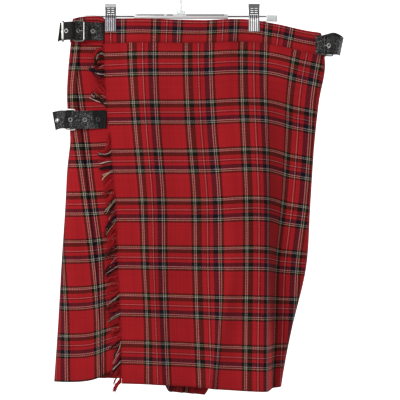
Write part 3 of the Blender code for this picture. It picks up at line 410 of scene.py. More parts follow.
def pleat_span(drop):
    """x of the back's right and left ends, what shows of each pleat, and how deep it is folded."""
    start = hang(RIGHT, drop) - BACK_INSET[0]
    behind, _, _ = left_turn(drop)
    end = behind[0] + BACK_INSET[1]
    shown = (start - end) / PLEATS
    return start, end, shown, shown * blend(*PLEAT_DEPTH, ease(drop / LENGTH))


print("a pleat shows", [round(float(pleat_span(drop)[2]), 1) for drop in (0.0, LENGTH)], "mm, waist and hem")

# %% First pleat
FOLD_RADIUS = 1.3
PLEAT_LINE = np.array(
    [  # drop, how far from the first pleat's edge a pair of its pale lines runs
        (0.0, 6.0),
        (82.0, 6.5),
        (135.0, 9.3),
        (170.0, 11.0),
        (224.0, 8.8),
        (311.0, 5.6),
        (432.0, 3.3),
        (500.0, 2.2),
        (610.0, 3.5),
        (652.0, 3.8),
    ]
)
RIPPLE, RIPPLE_ACROSS, RIPPLE_DOWN = 0.9, 17.0, 90.0  # height of a small wave, and its phase in millimetres
RIPPLE_STARTS = 60.0  # drop
TURNED_UNDER = (2.5, 14.0)  # least and most of the first pleat's cloth that runs back behind its edge
LEAD_SHORT, LEAD_INSIDE = 2.0, 0.9  # its other end stops this far short in the last pleat, and this deep


def first_pleat_row(drop):
    """From under the last back pleat, round the left side by a half turn, to the turned edge in front."""
    behind, front, reach = left_turn(drop)
    _, last_edge, _, under = pleat_span(drop)
    start_x = last_edge + under - LEAD_SHORT
    lead_x = np.linspace(start_x, behind[0], 9)[:-1]
    rise = behind[1] - back_y(behind[0], drop)
    lead_y = back_y(lead_x, drop) + rise * (start_x - lead_x) / (start_x - behind[0]) - LEAD_INSIDE
    angle = np.linspace(0, math.pi, 40)[:-1]
    turn = (behind + front) / 2 + np.outer(np.cos(angle), (behind - front) / 2)
    turn[:, 0] -= reach * np.sin(angle)
    edge = hang(FIRST_PLEAT, drop)
    face_x = np.linspace(front[0], edge - FOLD_RADIUS, 28)
    edge_y = float(front_y(face_x[-1], drop))
    under_y = edge_y + 2 * FOLD_RADIUS
    back = np.clip(0.8 * (edge - front[0]), *TURNED_UNDER)
    hook = np.array(
        [
            (edge - FOLD_RADIUS, edge_y),
            (edge + 0.25, edge_y + 0.1),
            (edge + 0.25, under_y - 0.1),
            (edge - FOLD_RADIUS, under_y),
            (edge - FOLD_RADIUS - back, under_y - 0.1),
        ]
    )
    face = np.column_stack([face_x, front_y(face_x, drop)])
    run = np.concatenate([np.column_stack([lead_x, lead_y]), turn, face[:-1], softened(hook)])
    away = lengths(run)
    edge_at = len(lead_x) + len(turn) + len(face) - 1
    wide = away[edge_at] + FOLD_RADIUS - away
    wave = np.sin(wide / RIPPLE_ACROSS + drop / RIPPLE_DOWN)
    run[:, 1] -= RIPPLE * wave * ease(wide / 20.0) * ease((drop - RIPPLE_STARTS) / 200.0)
    sag = sag_at(LEFT_SAG_X, LEFT_SAG, run[:, 0], drop)
    across = through(*PLEAT_LINE.T, drop) - wide
    return section(*run.T, height(drop, sag), across, drop)


print("first pleat: turns", round(2 * float(left_turn(LENGTH)[2])), "mm deep at its hem")

# %% Under apron
UNDER_BEHIND = 3.5  # how far the under apron lies behind the over apron
UNDER_BEHIND_PLEAT = 4.4  # and behind the first pleat
UNDER_END = 150.0  # x where it ends, out of sight
UNDER_TUCK = (6.0, 12.0)  # how far it runs in behind the first pleat's edge, at the waist and lower down
TUCK_WHOLE_AT = 300.0
BESIDE_EDGE = (6.0, 26.0)  # from that edge: where it starts to come forward, and over what width
UNDER_LINE = np.array(
    [  # drop, x of one pale line of the under apron
        (0.0, -190.0),
        (50.8, -187.4),
        (107.0, -181.1),
        (197.0, -169.3),
        (308.0, -155.8),
        (427.0, -141.7),
        (515.0, -138.8),
        (623.0, -137.5),
        (652.0, -137.3),
    ]
)


def under_row(drop, columns=70):
    """The under apron, behind the first pleat's edge and the over apron, across from its pale line."""
    edge = hang(FIRST_PLEAT, drop)
    x = np.linspace(edge - blend(*UNDER_TUCK, ease(drop / TUCK_WHOLE_AT)), UNDER_END, columns)
    past_edge = ease((x - edge - BESIDE_EDGE[0]) / BESIDE_EDGE[1])
    behind = blend(UNDER_BEHIND_PLEAT, UNDER_BEHIND, past_edge)
    sag = sag_at(LEFT_SAG_X, LEFT_SAG, x, drop)
    across = x - through(*UNDER_LINE.T, drop)
    return section(x, front_y(x, drop) + behind, height(drop, sag), across, drop)


print("under apron:", round(float(UNDER_END - under_row(LENGTH)[0, 0])), "mm wide at its hem")


# %% [markdown]
# ## Knife pleats
#
# In plan a pleat is a flat Z. Its face runs from the fold under its neighbour up to its own edge, the
# cloth turns back under the face by PLEAT_DEPTH of what shows, and turns again. The train of Zs is
# PACK thick, enough for three layers of cloth wherever they lie over each other. Eighteen separate folds
# would leave seams that no kilt has, so the whole back is one line.

# %% Pleated back
BACK_SAG_X = (-225.0, -60.0, 80.0, 175.0, 245.0)
BACK_SAG = (
    (0.0, 1.0, 4.0, 12.0, 28.0),
    (0.0, 0.0, 0.0, 10.0, 24.0),
    (0.0, 0.0, 0.0, 8.0, 15.0),
    (-16.0, -14.0, -4.0, -3.0, -3.0),
)
PACK_START = 0.42  # share of the pack's thickness at which its first face starts
FACE_BEND = (0.62, 0.38)  # where a later face bends: share of its length from its edge, share of the pack
# One stretch of the back's hem, between two places across, hangs lower than the rest.
BACK_DIP = {"from": -28.0, "to": 48.0, "soft": 14.0, "depth": 20.0, "starts": 420.0}


def back_sag(x, drop):
    """The back's sag from its table, and its dip: a soft step in, a soft step out, growing to the hem."""
    soft = BACK_DIP["soft"]
    inside = ease((x - BACK_DIP["from"]) / soft + 0.5) * ease((BACK_DIP["to"] - x) / soft + 0.5)
    low = ease((drop - BACK_DIP["starts"]) / (LENGTH - BACK_DIP["starts"]))
    return sag_at(BACK_SAG_X, BACK_SAG, x, drop) + BACK_DIP["depth"] * inside * low


def pleat_plan(drop):
    """Distance from the back's right end and depth from its innermost cloth, corner by corner."""
    _, _, shown, under = pleat_span(drop)
    pack = hang(PACK, drop)
    r = FOLD_RADIUS
    points = [(0.0, PACK_START * pack)]
    for i in range(PLEATS):
        edge = (i + 1) * shown
        if i:
            points.append((edge - FACE_BEND[0] * (shown + under), FACE_BEND[1] * pack))
        points += [
            (edge - r, pack),
            (edge, pack - r),
            (edge - r, pack - 2 * r),
            (edge - under + r, 2 * r),
            (edge - under, r),
        ]
        if i < PLEATS - 1:
            points.append((edge - under + r, 0.0))
    return softened(np.array(points))


def pleat_row(drop):
    """The Zs in place, from the left; what shows of each pleat is always a quarter of a sett."""
    start, _, shown, _ = pleat_span(drop)
    away, deep = pleat_plan(drop).T
    x = start - away
    across = away / shown * (SETT_ACROSS / PLEATS_A_SETT)
    return section(x, back_y(x, drop) + deep, height(drop, back_sag(x, drop)), across, drop)[::-1]


print("pleated back:", len(pleat_plan(0.0)), "points in a section")

# %% [markdown]
# ## Waistband
#
# A band of the same tartan, cut across the sett, is sewn over the waist from outside. One ring round the
# whole waist would cut through the steps from panel to panel, so it is three stretches. Each follows what
# it is sewn to, and they end where the fringe and the folds hide it.

# %% Waistband
LEFT_BAND_RISE = np.array(
    [  # x, how far the left band's top edge stands above the cloth's
        (-200.0, -0.8),
        (-188.0, -0.8),
        (-176.0, 2.0),
        (-160.0, 3.4),
        (-145.0, 3.6),
        (-136.0, 0.6),
    ]
)
RISE_ENDS = 24.0  # drop at which that rise has died away
BAND_STEPS = (-1.0, 6.0, 16.0)  # from the first pleat's edge: off the pleat, halfway, onto the under apron
LEFT_BAND_SHORT = 1.2  # from the over apron's fringed edge to the end of the left band
BACK_BAND_GAPS = (3.0, 0.5)  # from the end of the wrap, and from the last pleat's edge, to the back band


def left_band_row(drop):
    """Over the under apron, up across the first pleat, round the left side to the pleats."""
    behind, front, reach = left_turn(drop)
    start_x = hang(FRINGED, drop) - LEFT_BAND_SHORT
    edge = hang(FIRST_PLEAT, drop)
    steps = [edge + step for step in BAND_STEPS]
    x = np.concatenate([np.linspace(start_x, steps[0], 30), (front[0],)])
    places = (front[0] - 1.0, *steps, start_x)
    on_under = UNDER_BEHIND - BAND_CLEAR
    lift = np.interp(x, places, (-BAND_CLEAR, -BAND_CLEAR, 0.0, on_under - 0.3, on_under))
    face = np.column_stack([x, front_y(x, drop) + lift])
    angle = np.linspace(0, math.pi, 30)[1:]
    half = (front - behind) / 2
    turn = (behind + front) / 2 + np.outer(np.cos(angle), half * (1 + BAND_CLEAR / np.linalg.norm(half)))
    turn[:, 0] -= (reach + BAND_CLEAR) * np.sin(angle)
    run = np.concatenate([face, turn])[::-1]
    sag = sag_at(LEFT_SAG_X, LEFT_SAG, run[:, 0], drop)
    rise = np.interp(run[:, 0], *LEFT_BAND_RISE.T) * (1 - ease(drop / RISE_ENDS))
    wide = lengths(run)
    return section(*run.T, height(drop, sag) + rise, wide - wide[-1], drop)


def back_band_row(drop):
    """A plain curve outside the pleats, from beside the over apron's wrap to the last pleat's edge."""
    _, end, _, _ = pleat_span(drop)
    turn_x, _, _ = right_turn(drop)
    x = np.linspace(turn_x - BACK_WRAP - BACK_BAND_GAPS[0], end + BACK_BAND_GAPS[1], 120)
    y = back_y(x, drop) + hang(PACK, drop) + BAND_CLEAR
    return section(x, y, height(drop, back_sag(x, drop)), -x, drop)[::-1]


def front_band_row(drop):
    """The over apron's own section moved out."""
    return moved_out(apron_row(drop, crease=0.0), BAND_CLEAR)


around = sum(lengths(row(0.0)[:, :2])[-1] for row in (front_band_row, left_band_row, back_band_row))
print("waistband:", round(around), "mm round the waist")


# %% [markdown]
# ## The tartan
#
# A tartan's pattern, its sett, is counted in threads from its white line outwards and mirrored about the
# middle of the red. Warp and weft have the same stripes, though a few of them differ by some threads. A
# picture of the cloth would blur up close, so the threads themselves are worked out: a 2/2 twill shows
# the warp where (i - j) mod 4 < 2, for warp thread i and weft thread j, which is what makes the fine
# diagonal. Distances come from the cloth's own coordinates in UV map "cloth", in metres, so each thread
# keeps its size on every panel.

# %% Sett
HALF_SETT = (
    # colour, threads in the warp, threads in the weft
    ("white", 0.5, 0.5),
    ("red", 2, 2),
    ("black", 1.5, 1.5),
    ("red", 9.5, 8.5),
    ("dark", 12, 11),
    ("white", 2, 2),
    ("black", 2.5, 2.5),
    ("yellow", 2, 2),
    ("black", 6, 5),
    ("red", 28, 31),
)
WARP, WEFT = 1, 2
SETT_THREADS = 132
SETT_ACROSS, SETT_DOWN = 99.1, 86.0  # width of a whole sett in each direction
PLEATS_A_SETT = 4.0
YARN = {  # "dark" stripes are green on one side of the white line and navy on the other
    "red": (0.425, 0.0135, 0.0185),
    "black": (0.008, 0.006, 0.006),
    "white": (0.58, 0.50, 0.49),
    "yellow": (0.54, 0.47, 0.27),
    "green": (0.008, 0.009, 0.003),
    "navy": (0.008, 0.006, 0.013),
}
DYED_RED = (0.3, 0.02, 0.03)  # a stand-in, over which the stripes are wired
# Where the middle of a group of lines falls: across each panel from its named edge, and down it.
GROUP_AT = {
    "over_apron": (67.0, 77.8),
    "first_pleat": (21.6, 69.1),
    "under_apron": (-22.4, 69.1),
    "pleated_back": (12.0, 77.8),
    "waistband_front": (10.2, 3.3),
    "waistband_left": (-63.2, 3.3),
    "waistband_back": (10.2, 3.3),
}
counted = [2 * sum(row[way] for row in HALF_SETT) for way in (WARP, WEFT)]
print("sett:", counted, "threads, one every", round(SETT_ACROSS / SETT_THREADS, 2), "mm across")


# %% [markdown]
# ## Shader maths
#
# A shader is a formula worked out at every point of a surface, and wiring it node by node hides that.
# Node is a socket with the usual operators, so here a shader reads like the formula that it is.


# %% Shader kit
class Node:
    """A shader socket that can be added, multiplied and so on; each operation is one Math node."""

    def __init__(self, tree, socket):
        self.tree, self.socket = tree, socket

    def make(self, kind, values=(), output=0, stops=(), **settings):
        """A node of another kind in the same tree: its settings or ramp stops first, then its inputs."""
        made = self.tree.nodes.new(kind)
        for key, value in settings.items():
            setattr(made, key, value)
        if stops:
            made.color_ramp.interpolation = "CONSTANT"
            elements = made.color_ramp.elements
            elements.remove(elements[1])
            for number, (position, colour) in enumerate(stops):
                stop = elements.new(position) if number else elements[0]
                stop.position = position
                stop.color = (*colour, 1.0)
        pairs = values.items() if isinstance(values, dict) else enumerate(values)
        for key, value in pairs:
            self.join(value, made.inputs[key])
        return Node(self.tree, made.outputs[output])

    def join(self, value, target):
        """Links a Node to an input socket, or sets the socket to a plain value."""
        if isinstance(value, Node):
            self.tree.links.new(value.socket, target)
        else:
            target.default_value = value

    def math(self, operation, *others):
        """One Math node: this first, then the others."""
        return self.make("ShaderNodeMath", (self, *others), operation=operation)

    # a + b, a - b, a * b, a / b and, for a plain number a, a - b
    def __add__(self, other):
        return self.math("ADD", other)

    def __sub__(self, other):
        return self.math("SUBTRACT", other)

    def __mul__(self, other):
        return self.math("MULTIPLY", other)

    def __truediv__(self, other):
        return self.math("DIVIDE", other)

    def __rsub__(self, other):
        return self.make("ShaderNodeMath", (other, self), operation="SUBTRACT")

    __radd__ = __add__
    __rmul__ = __mul__

    def floor(self):
        """The whole number at or below this."""
        return self.math("FLOOR")

    def wrap(self, size):
        """The remainder after whole steps of size, never negative."""
        return self.math("WRAP", size, 0.0)

    def below(self, limit):
        """1 where this is below the limit, else 0."""
        return self.math("LESS_THAN", limit)

    def clamped(self):
        """This, kept between 0 and 1."""
        return self.make("ShaderNodeClamp", (self, 0.0, 1.0))

    def mix(self, first, second):
        """The first colour where this is 0, the second where it is 1."""
        first, second = ((*side, 1.0) if isinstance(side, tuple) else side for side in (first, second))
        return self.make("ShaderNodeMix", {0: self, 6: first, 7: second}, output=2, data_type="RGBA")

    def vector(self, operation, other):
        """A colour combined with another, channel by channel."""
        return self.make("ShaderNodeVectorMath", (self, other), operation=operation)

    def scaled(self, factor):
        """A colour made lighter or darker by a factor."""
        return self.make("ShaderNodeVectorMath", {0: self, 3: factor}, operation="SCALE")

    def raised(self, power):
        """Each channel raised to a power."""
        return self.make("ShaderNodeGamma", (self, power))


print("shader kit:", sum(callable(value) for value in vars(Node).values()), "operations")


# %% Material helpers
def new_material(name, colour, roughness, metallic=0.0, **constants):
    """A Principled material, its node for further wiring, and a Node to start formulas from."""
    made = bpy.data.materials.new(name)
    made.use_nodes = True
    tree = made.node_tree
    shader = tree.nodes["Principled BSDF"]
    shader.inputs["Base Color"].default_value = (*colour, 1.0)
    shader.inputs["Roughness"].default_value = roughness
    shader.inputs["Metallic"].default_value = metallic
    for key, value in constants.items():
        shader.inputs[key.replace("_", " ")].default_value = value
    start = Node(tree, tree.nodes.new("ShaderNodeTexCoord").outputs["Object"])
    return made, shader, start


def bump(start, relief, strength, distance):
    """A normal tilted by the slope of a relief that is distance metres high."""
    return start.make("ShaderNodeBump", {"Height": relief, "Strength": strength, "Distance": distance})


def noise(start, scale, detail):
    """Smooth noise about 0.5 with scale blobs to a metre and finer detail on them."""
    return start.make("ShaderNodeTexNoise", {"Vector": start, "Scale": scale, "Detail": detail})


def axis(start, number):
    """One of a vector's three numbers."""
    return start.make("ShaderNodeSeparateXYZ", (start,), output=number)


def uneven_polish(start, shader, least, spread, scale, detail=3.0):
    """Roughness = least + spread * noise."""
    start.join(least + noise(start, scale, detail) * spread, shader.inputs["Roughness"])


print("helpers: material, bump, noise, axis, uneven polish")


# %% Tartan material
def sett_ramp(start, thread, way):
    """Colour of a thread by its share of the way through the sett, from the middle of one red to the next."""
    share = (thread + 0.5 * SETT_THREADS).wrap(float(SETT_THREADS)) / SETT_THREADS
    stops, at = [], 0.0
    for side, dark in ((-1, "green"), (1, "navy")):
        for row in HALF_SETT[::side]:
            stops.append((at / SETT_THREADS, YARN[dark if row[0] == "dark" else row[0]]))
            at += row[way]
    return start.make("ShaderNodeValToRGB", (share,), stops=stops)


def dyed(start, thread, way, seed, least, spread):
    """A thread's colour in the sett, made lighter or darker by a random number of its own."""
    luck = start.make("ShaderNodeTexWhiteNoise", {"W": thread + seed}, noise_dimensions="1D")
    return sett_ramp(start, thread, way).scaled(least + luck * spread)


def tartan():
    """2/2 twill of two sets of threads.

    The mean light of two yarns a and b looks paler than cloth woven of them, so where they cross the
    colour is multiplied by ((sqrt a + sqrt b) / 2)^2 over (a + b) / 2."""
    made, shader, start = new_material(
        "tartan_twill", DYED_RED, 0.9, Specular_IOR_Level=0.08, Sheen_Weight=0.04, Sheen_Roughness=0.5
    )
    cloth = start.make("ShaderNodeUVMap", uv_map="cloth")
    warp = (axis(cloth, 0) * (SETT_THREADS / (SETT_ACROSS * MM))).floor()
    weft = (axis(cloth, 1) * (SETT_THREADS / (SETT_DOWN * MM))).floor()
    colours = [dyed(start, warp, WARP, 7.3, 0.86, 0.28), dyed(start, weft, WEFT, 91.7, 0.86, 0.28)]
    over = (warp - weft).wrap(4.0).below(1.9)
    roots = [colour.raised(0.5) for colour in colours]
    dulled = roots[0].vector("ADD", roots[1]).scaled(0.5).raised(2.0)
    plain = colours[0].vector("ADD", colours[1]).scaled(0.5)
    colour = over.mix(colours[1], colours[0]).vector("MULTIPLY", dulled.vector("DIVIDE", plain))
    start.join(colour.scaled(0.84 + noise(start, 9.0, 3.0) * 0.32), shader.inputs["Base Color"])
    relief = over * 0.5 + noise(start, 900.0, 2.0) * 0.7
    start.join(bump(start, relief, 0.35, 0.0004), shader.inputs["Normal"])
    return made


def fringe_wool():
    """Bare weft ends: each takes the colour of the stripe that it comes out of."""
    made, shader, start = new_material("fringe_wool", DYED_RED, 0.9, Specular_IOR_Level=0.15)
    down = axis(start.make("ShaderNodeUVMap", uv_map="cloth"), 1)
    weft = (down * (SETT_THREADS / (SETT_DOWN * MM))).floor()
    start.join(dyed(start, weft, WEFT, 0.0, 0.8, 0.4), shader.inputs["Base Color"])
    return made


TARTAN = tartan()
WOOL = fringe_wool()
print("tartan:", len(TARTAN.node_tree.nodes), "nodes")

# %% [markdown]
# ## Leather, metal and plastic
#
# The straps are black hide with a coarse grain, with pale specks painted in bands where it bends as painted
# glints. The metal is nickel and pressed steel, parts of it painted darker or lighter as painted shade and
# painted reflection, and the hanger's mouldings are clear or milky plastic, with painted shade along the
# beam's top edge. None of it is painted by hand: the glints lie where noise puts them, the painted shade by
# a formula of place.

# %% Leather
# GLINT_HIDE is a painted highlight: the pale colour of the painted glints on the grain.
HIDE, GLINT_HIDE = (0.006, 0.006, 0.006), (0.20, 0.196, 0.20)


def leather():
    """Black grained leather: domed cells two millimetres wide, with painted glints where the strap bends.

    Painted glint = clamped 8 (band noise - 0.47), times 0.06 and the specks of a finer noise: pale specks
    in bands across the strap, a painted highlight."""
    made, shader, start = new_material("grained_leather", HIDE, 0.42, Specular_IOR_Level=0.14)
    bends = start.make("ShaderNodeMapping", {"Vector": start, "Scale": (1.0, 1.0, 0.15)})
    cells = start.make("ShaderNodeTexVoronoi", {"Vector": start, "Scale": 480.0}, feature="SMOOTH_F1")
    band_noise = noise(bends, 62.0, 2.0)
    specks = ((noise(start, 560.0, 1.0) - 0.53) * 9.0).clamped()
    painted_glint = ((band_noise - 0.47) * 8.0).clamped() * (0.06 + specks)
    start.join(painted_glint.mix(HIDE, GLINT_HIDE), shader.inputs["Base Color"])
    start.join(0.28 + band_noise * 0.30, shader.inputs["Roughness"])
    start.join(bump(start, 1.0 - cells, 1.0, 0.0010), shader.inputs["Normal"])
    return made


LEATHER_BLACK = leather()
print("leather:", len(LEATHER_BLACK.node_tree.nodes), "nodes")

# %% Metal
# BRIGHT_NICKEL is plain bright nickel; DARK_REFLECTION_NICKEL is painted dark reflection on the top and
# bottom bars of the upper buckle and its keeper.
BRIGHT_NICKEL, DARK_REFLECTION_NICKEL = (0.86, 0.85, 0.82), (0.20, 0.19, 0.16)
BRIGHT_HALF = 14.0  # half the height of the stretch left bright; beyond it the nickel is painted dark as painted reflection
# Painted light on the clips: painted shade in the jaw grooves and round the windows, the right clip's jaws
# painted lighter than the left clip's, and the right tab painted dark as painted shade.
CLIP_GREY, CLIP_LIT = (0.42, 0.41, 0.44), (0.78, 0.77, 0.78)
CLIP_GROOVE_SHADE, CLIP_RIM_SHADE = (0.05, 0.05, 0.06), (0.11, 0.11, 0.12)
CLIP_TABS = ((0.12, 0.12, 0.12), (0.52, 0.52, 0.53))  # right, left: the right one painted dark as painted shade, the left one lighter
RIB_PITCH, GROOVE_SHARE = 3.6, 0.42  # of which the painted groove shade takes this share
RIB_SHIFT = (0.0, 0.75)  # of each clip's ribs from its middle
RIMS = (-93.9, -79.6)  # the levels between which the clips' windows lie


def metal(name, colour, roughness, grain, metallic=1.0):
    """A bright metal with a faint uneven polish."""
    made, shader, start = new_material(name, colour, roughness, metallic)
    uneven_polish(start, shader, roughness * 0.7, roughness * 0.6, grain)
    return made


def nickel_dark_reflection(name, drop):
    """Painted reflection: bright near the strap's middle level, painted darker by 0.02 (z^2 - 14^2) beyond
    the strap's two edges, so the top and bottom bars look like dark reflections.
    """
    made, shader, start = new_material(name, BRIGHT_NICKEL, 0.30, metallic=0.7)
    off = (axis(start, 2) - height(drop, 0.0) * MM) * (1.0 / MM)
    dark_reflection = ((off * off - BRIGHT_HALF**2) * 0.02).clamped()
    start.join(dark_reflection.mix(BRIGHT_NICKEL, DARK_REFLECTION_NICKEL), shader.inputs["Base Color"])
    uneven_polish(start, shader, 0.21, 0.18, 120.0)
    return made


def clip_steel():
    """Pressed steel with painted light: painted shade in grooves a rib apart on the jaws and round the
    windows, the right clip's jaws painted lighter than the left's, its tab painted dark, the left one
    lighter.
    """
    made, shader, start = new_material("clip_steel", CLIP_GREY, 0.36, metallic=0.5)
    across, level = axis(start, 0), axis(start, 2)
    left = across.below(0.0)
    middle = left * (CLIP_X[0] * MM) + (1.0 - left) * ((CLIP_X[1] + RIB_SHIFT[1]) * MM)
    groove_shade = ((across - middle) / (RIB_PITCH * MM) + 0.5 * GROOVE_SHARE).wrap(1.0).below(GROOVE_SHARE)
    jaw = groove_shade.mix(left.mix(CLIP_LIT, CLIP_GREY), CLIP_GROOVE_SHADE)
    upper = level.below(RIMS[1] * MM).mix(left.mix(*CLIP_TABS), CLIP_RIM_SHADE)
    start.join(level.below(RIMS[0] * MM).mix(upper, jaw), shader.inputs["Base Color"])
    uneven_polish(start, shader, 0.28, 0.20, 160.0)
    return made


NICKEL = metal("nickel", (0.32, 0.31, 0.30), 0.30, 300.0)
POLISHED = metal("polished_nickel", BRIGHT_NICKEL, 0.30, 120.0, metallic=0.7)
# Darkened nickel: on the right buckle's frame this is painted shade, for a frame that lies in shadow; the
# first hip eyelet is simply made darker.
DARKENED_NICKEL = metal("darkened_nickel", (0.07, 0.07, 0.07), 0.38, 300.0)
STEEL = metal("bright_steel", (0.36, 0.36, 0.37), 0.34, 160.0)
CLIP_STEEL = clip_steel()
print("pressed steel:", len(CLIP_STEEL.node_tree.nodes), "nodes")

# %% Plastic
EDGE_SHADE = (0.26, 0.26, 0.26)
EDGE_SHADE_SPANS = ((-79.0, -30.0), (-25.5, -14.0), (9.0, 76.0))  # stretches of the beam's top edge painted grey, as painted shade
EDGE_SHADE_ABOVE = -94.4


def clear_plastic():
    """A clear moulding with a faintly uneven polish; some of it is let through as plain see-through."""
    made, shader, start = new_material(
        "clear_plastic", (0.79, 0.84, 0.86), 0.10, Transmission_Weight=0.55, IOR=1.49, Alpha=0.8
    )
    uneven_polish(start, shader, 0.06, 0.10, 120.0, detail=2.0)
    return made


def milky_plastic(name, colour, spans=()):
    """Half-clear moulding; spans are stretches of x where its top edge is painted grey, as painted shade."""
    made, shader, start = new_material(name, colour, 0.25, IOR=1.49, Alpha=0.92)
    uneven_polish(start, shader, 0.20, 0.10, 120.0, detail=2.0)
    if spans:
        across = axis(start, 0)
        inside = sum(across.below(x1 * MM) * (1.0 - across.below(x0 * MM)) for x0, x1 in spans)
        edge_shaded = inside * (1.0 - axis(start, 2).below(EDGE_SHADE_ABOVE * MM))
        start.join(edge_shaded.mix(colour, EDGE_SHADE), shader.inputs["Base Color"])
    return made


CLEAR = clear_plastic()
BEAM_PLASTIC = milky_plastic("beam_plastic", (0.95, 0.93, 0.94), EDGE_SHADE_SPANS)
END_PLASTIC = milky_plastic("end_plastic", (0.84, 0.91, 0.91))
print("materials:", len(bpy.data.materials))

# %% [markdown]
# ## Meshes from grids
#
# A shape is an array of points, row by row or ring by ring, and its faces follow from the array's order
# alone: cell (r, c) joins points rC + c, rC + c + 1, (r+1)C + c + 1 and (r+1)C + c, where C is the number
# of columns. On a tube the last column is joined to the first. So no face is listed by hand, and an
# opening is a cell that is left out.


# %% Pieces
def linked(name, data):
    """A new object in the scene."""
    obj = bpy.data.objects.new(name, data)
    bpy.context.scene.collection.objects.link(obj)
    return obj


def place(name, mesh, material, slot, nodes):
    """Links a finished mesh, in millimetres, as a piece that stands for some of the part's nodes."""
    mesh.transform(Matrix.Diagonal((MM, MM, MM, 1.0)))
    mesh.materials.append(material)
    mesh.shade_smooth()
    obj = linked(name, mesh)
    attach(obj, "root")
    if nodes:
        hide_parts(*nodes)
    return obj


# %% Mesh builders
def grid_cells(rows, columns, holes=()):
    """Corner numbers of each cell of a grid, without the cells listed in holes."""
    number = np.arange(rows * columns).reshape(rows, columns)
    cells = np.stack([number[:-1, :-1], number[1:, :-1], number[1:, 1:], number[:-1, 1:]], axis=-1)
    kept = np.ones((rows - 1, columns - 1), bool)
    for r, c in holes:
        kept[r, c] = False
    return cells[kept].tolist()


def tube_cells(number):
    """Quads between rings of point numbers, each ring closed on itself."""
    beside = np.roll(number, -1, axis=-1)
    near, far = (number[..., :-1, :], beside[..., :-1, :]), (beside[..., 1:, :], number[..., 1:, :])
    return np.stack([*near, *far], axis=-1).reshape(-1, 4).tolist()


def surface(name, points, faces):
    """A mesh from an array of points, in any number of dimensions, and a list of faces."""
    mesh = bpy.data.meshes.new(name)
    mesh.from_pydata(points.reshape(-1, 3).tolist(), [], faces)
    return mesh


def lay_cloth(mesh, cloth):
    """Gives each corner of a mesh its point's place on the cloth, as UV map "cloth" in metres."""
    corners = np.empty(len(mesh.loops), np.int32)
    mesh.loops.foreach_get("vertex_index", corners)
    places = cloth.reshape(-1, 2)[corners] * MM
    mesh.uv_layers.new(name="cloth").data.foreach_set("uv", places.ravel())


def closed_mesh(name, points, faces):
    """A closed mesh with its faces turned outwards."""
    mesh = surface(name, points, faces)
    work = bmesh.new()
    work.from_mesh(mesh)
    bmesh.ops.recalc_face_normals(work, faces=work.faces)
    work.to_mesh(mesh)
    work.free()
    return mesh


print("a grid of 3 x 3 points has", len(grid_cells(3, 3)), "cells")


# %% Cloth builders
def thicken(obj, thickness, bevel=0.0):
    """Gives a surface its thickness, half to each side."""
    modifier = obj.modifiers.new("thickness", "SOLIDIFY")
    modifier.thickness = thickness * MM
    modifier.offset = 0.0
    modifier.use_even_offset = True
    if bevel:
        rounded = obj.modifiers.new("edges", "BEVEL")
        rounded.width = bevel * MM
        rounded.segments = 2
        rounded.limit_method = "ANGLE"
        rounded.angle_limit = math.radians(50)
        rounded.harden_normals = False
    return obj


def woven(name, grid, group_at):
    """A sheet of tartan through rows of x, y, z, across, drop, with a group of lines at group_at."""
    mesh = surface(name, grid[..., :3], grid_cells(*grid.shape[:2]))
    lay_cloth(mesh, grid[..., 3:] - group_at)
    return mesh


def cloth_piece(name, row_at, drops, thickness):
    """One panel: its sections at every drop, the weave's place on it, and its cut size in metres."""
    grid = np.array([row_at(drop) for drop in drops])
    obj = place(name + "_cloth", woven(name, grid, GROUP_AT[name]), TARTAN, "tartan", [name])
    thicken(obj, thickness)
    print(f"{name}: {grid.shape[0]} x {grid.shape[1]} points")


print("walls:", CLOTH, "mm for a panel,", BAND, "mm for a band")


# %% [markdown]
# ## The fringe
#
# The over apron's edge is unwoven: the vertical threads are drawn out and the level ones hang free.
# A hair system could grow them, but hair is no mesh that can be handed on, so each yarn is one thin
# four-sided tube from the edge, carried along a short arc. All of them are worked out as one array of
# yarn x step x side. A yarn keeps the colour of the stripe it comes from.

# %% Fringe sizes
FRINGE_TOP = 47.0
STRIP_WIDTH, STRIP_GAP = 2.2, 0.35
YARNS = 900
YARN_STEPS = 13
YARN_RADIUS = 0.40
FRINGE_MARGIN = 1.5  # no yarn starts nearer the hem
CORNER_LOCK, CORNER_YARNS = 16.0, 70  # the last lock, at the hem, is thicker
LOCK_PITCH = 6.0
UNDER_STRAP = (158.0, 199.0)  # drops between which the ends are tucked in under the hip strap
LOCK_SWAY = 5.0  # degrees, from lock to lock
ROOT_STRAY, TIP_STRAY = 2.5, 9.0  # degrees, from yarn to yarn
REACH_WAVE, REACH_STRAY = 0.10, (-0.14, 0.08)  # shares of a yarn's length, down the edge and at random
GATHERED = 0.75  # how far a yarn comes towards the middle of its lock
LAYERS, FIRST_AHEAD, LAYER_STEP = 3, 1.6, 1.3  # of locks, and how far ahead of the cloth they lie
PALE_AHEAD, DARK_AHEAD = 0.7, 0.5
PALE_THICKER, DARK_THICKER, TIP_THINNER = 0.25, 0.35, 0.35  # shares of YARN_RADIUS
STRIP_COLUMNS = ((0.0, -0.35), (0.5, -1.4), (1.0, -2.5))  # share of its width, place across the cloth
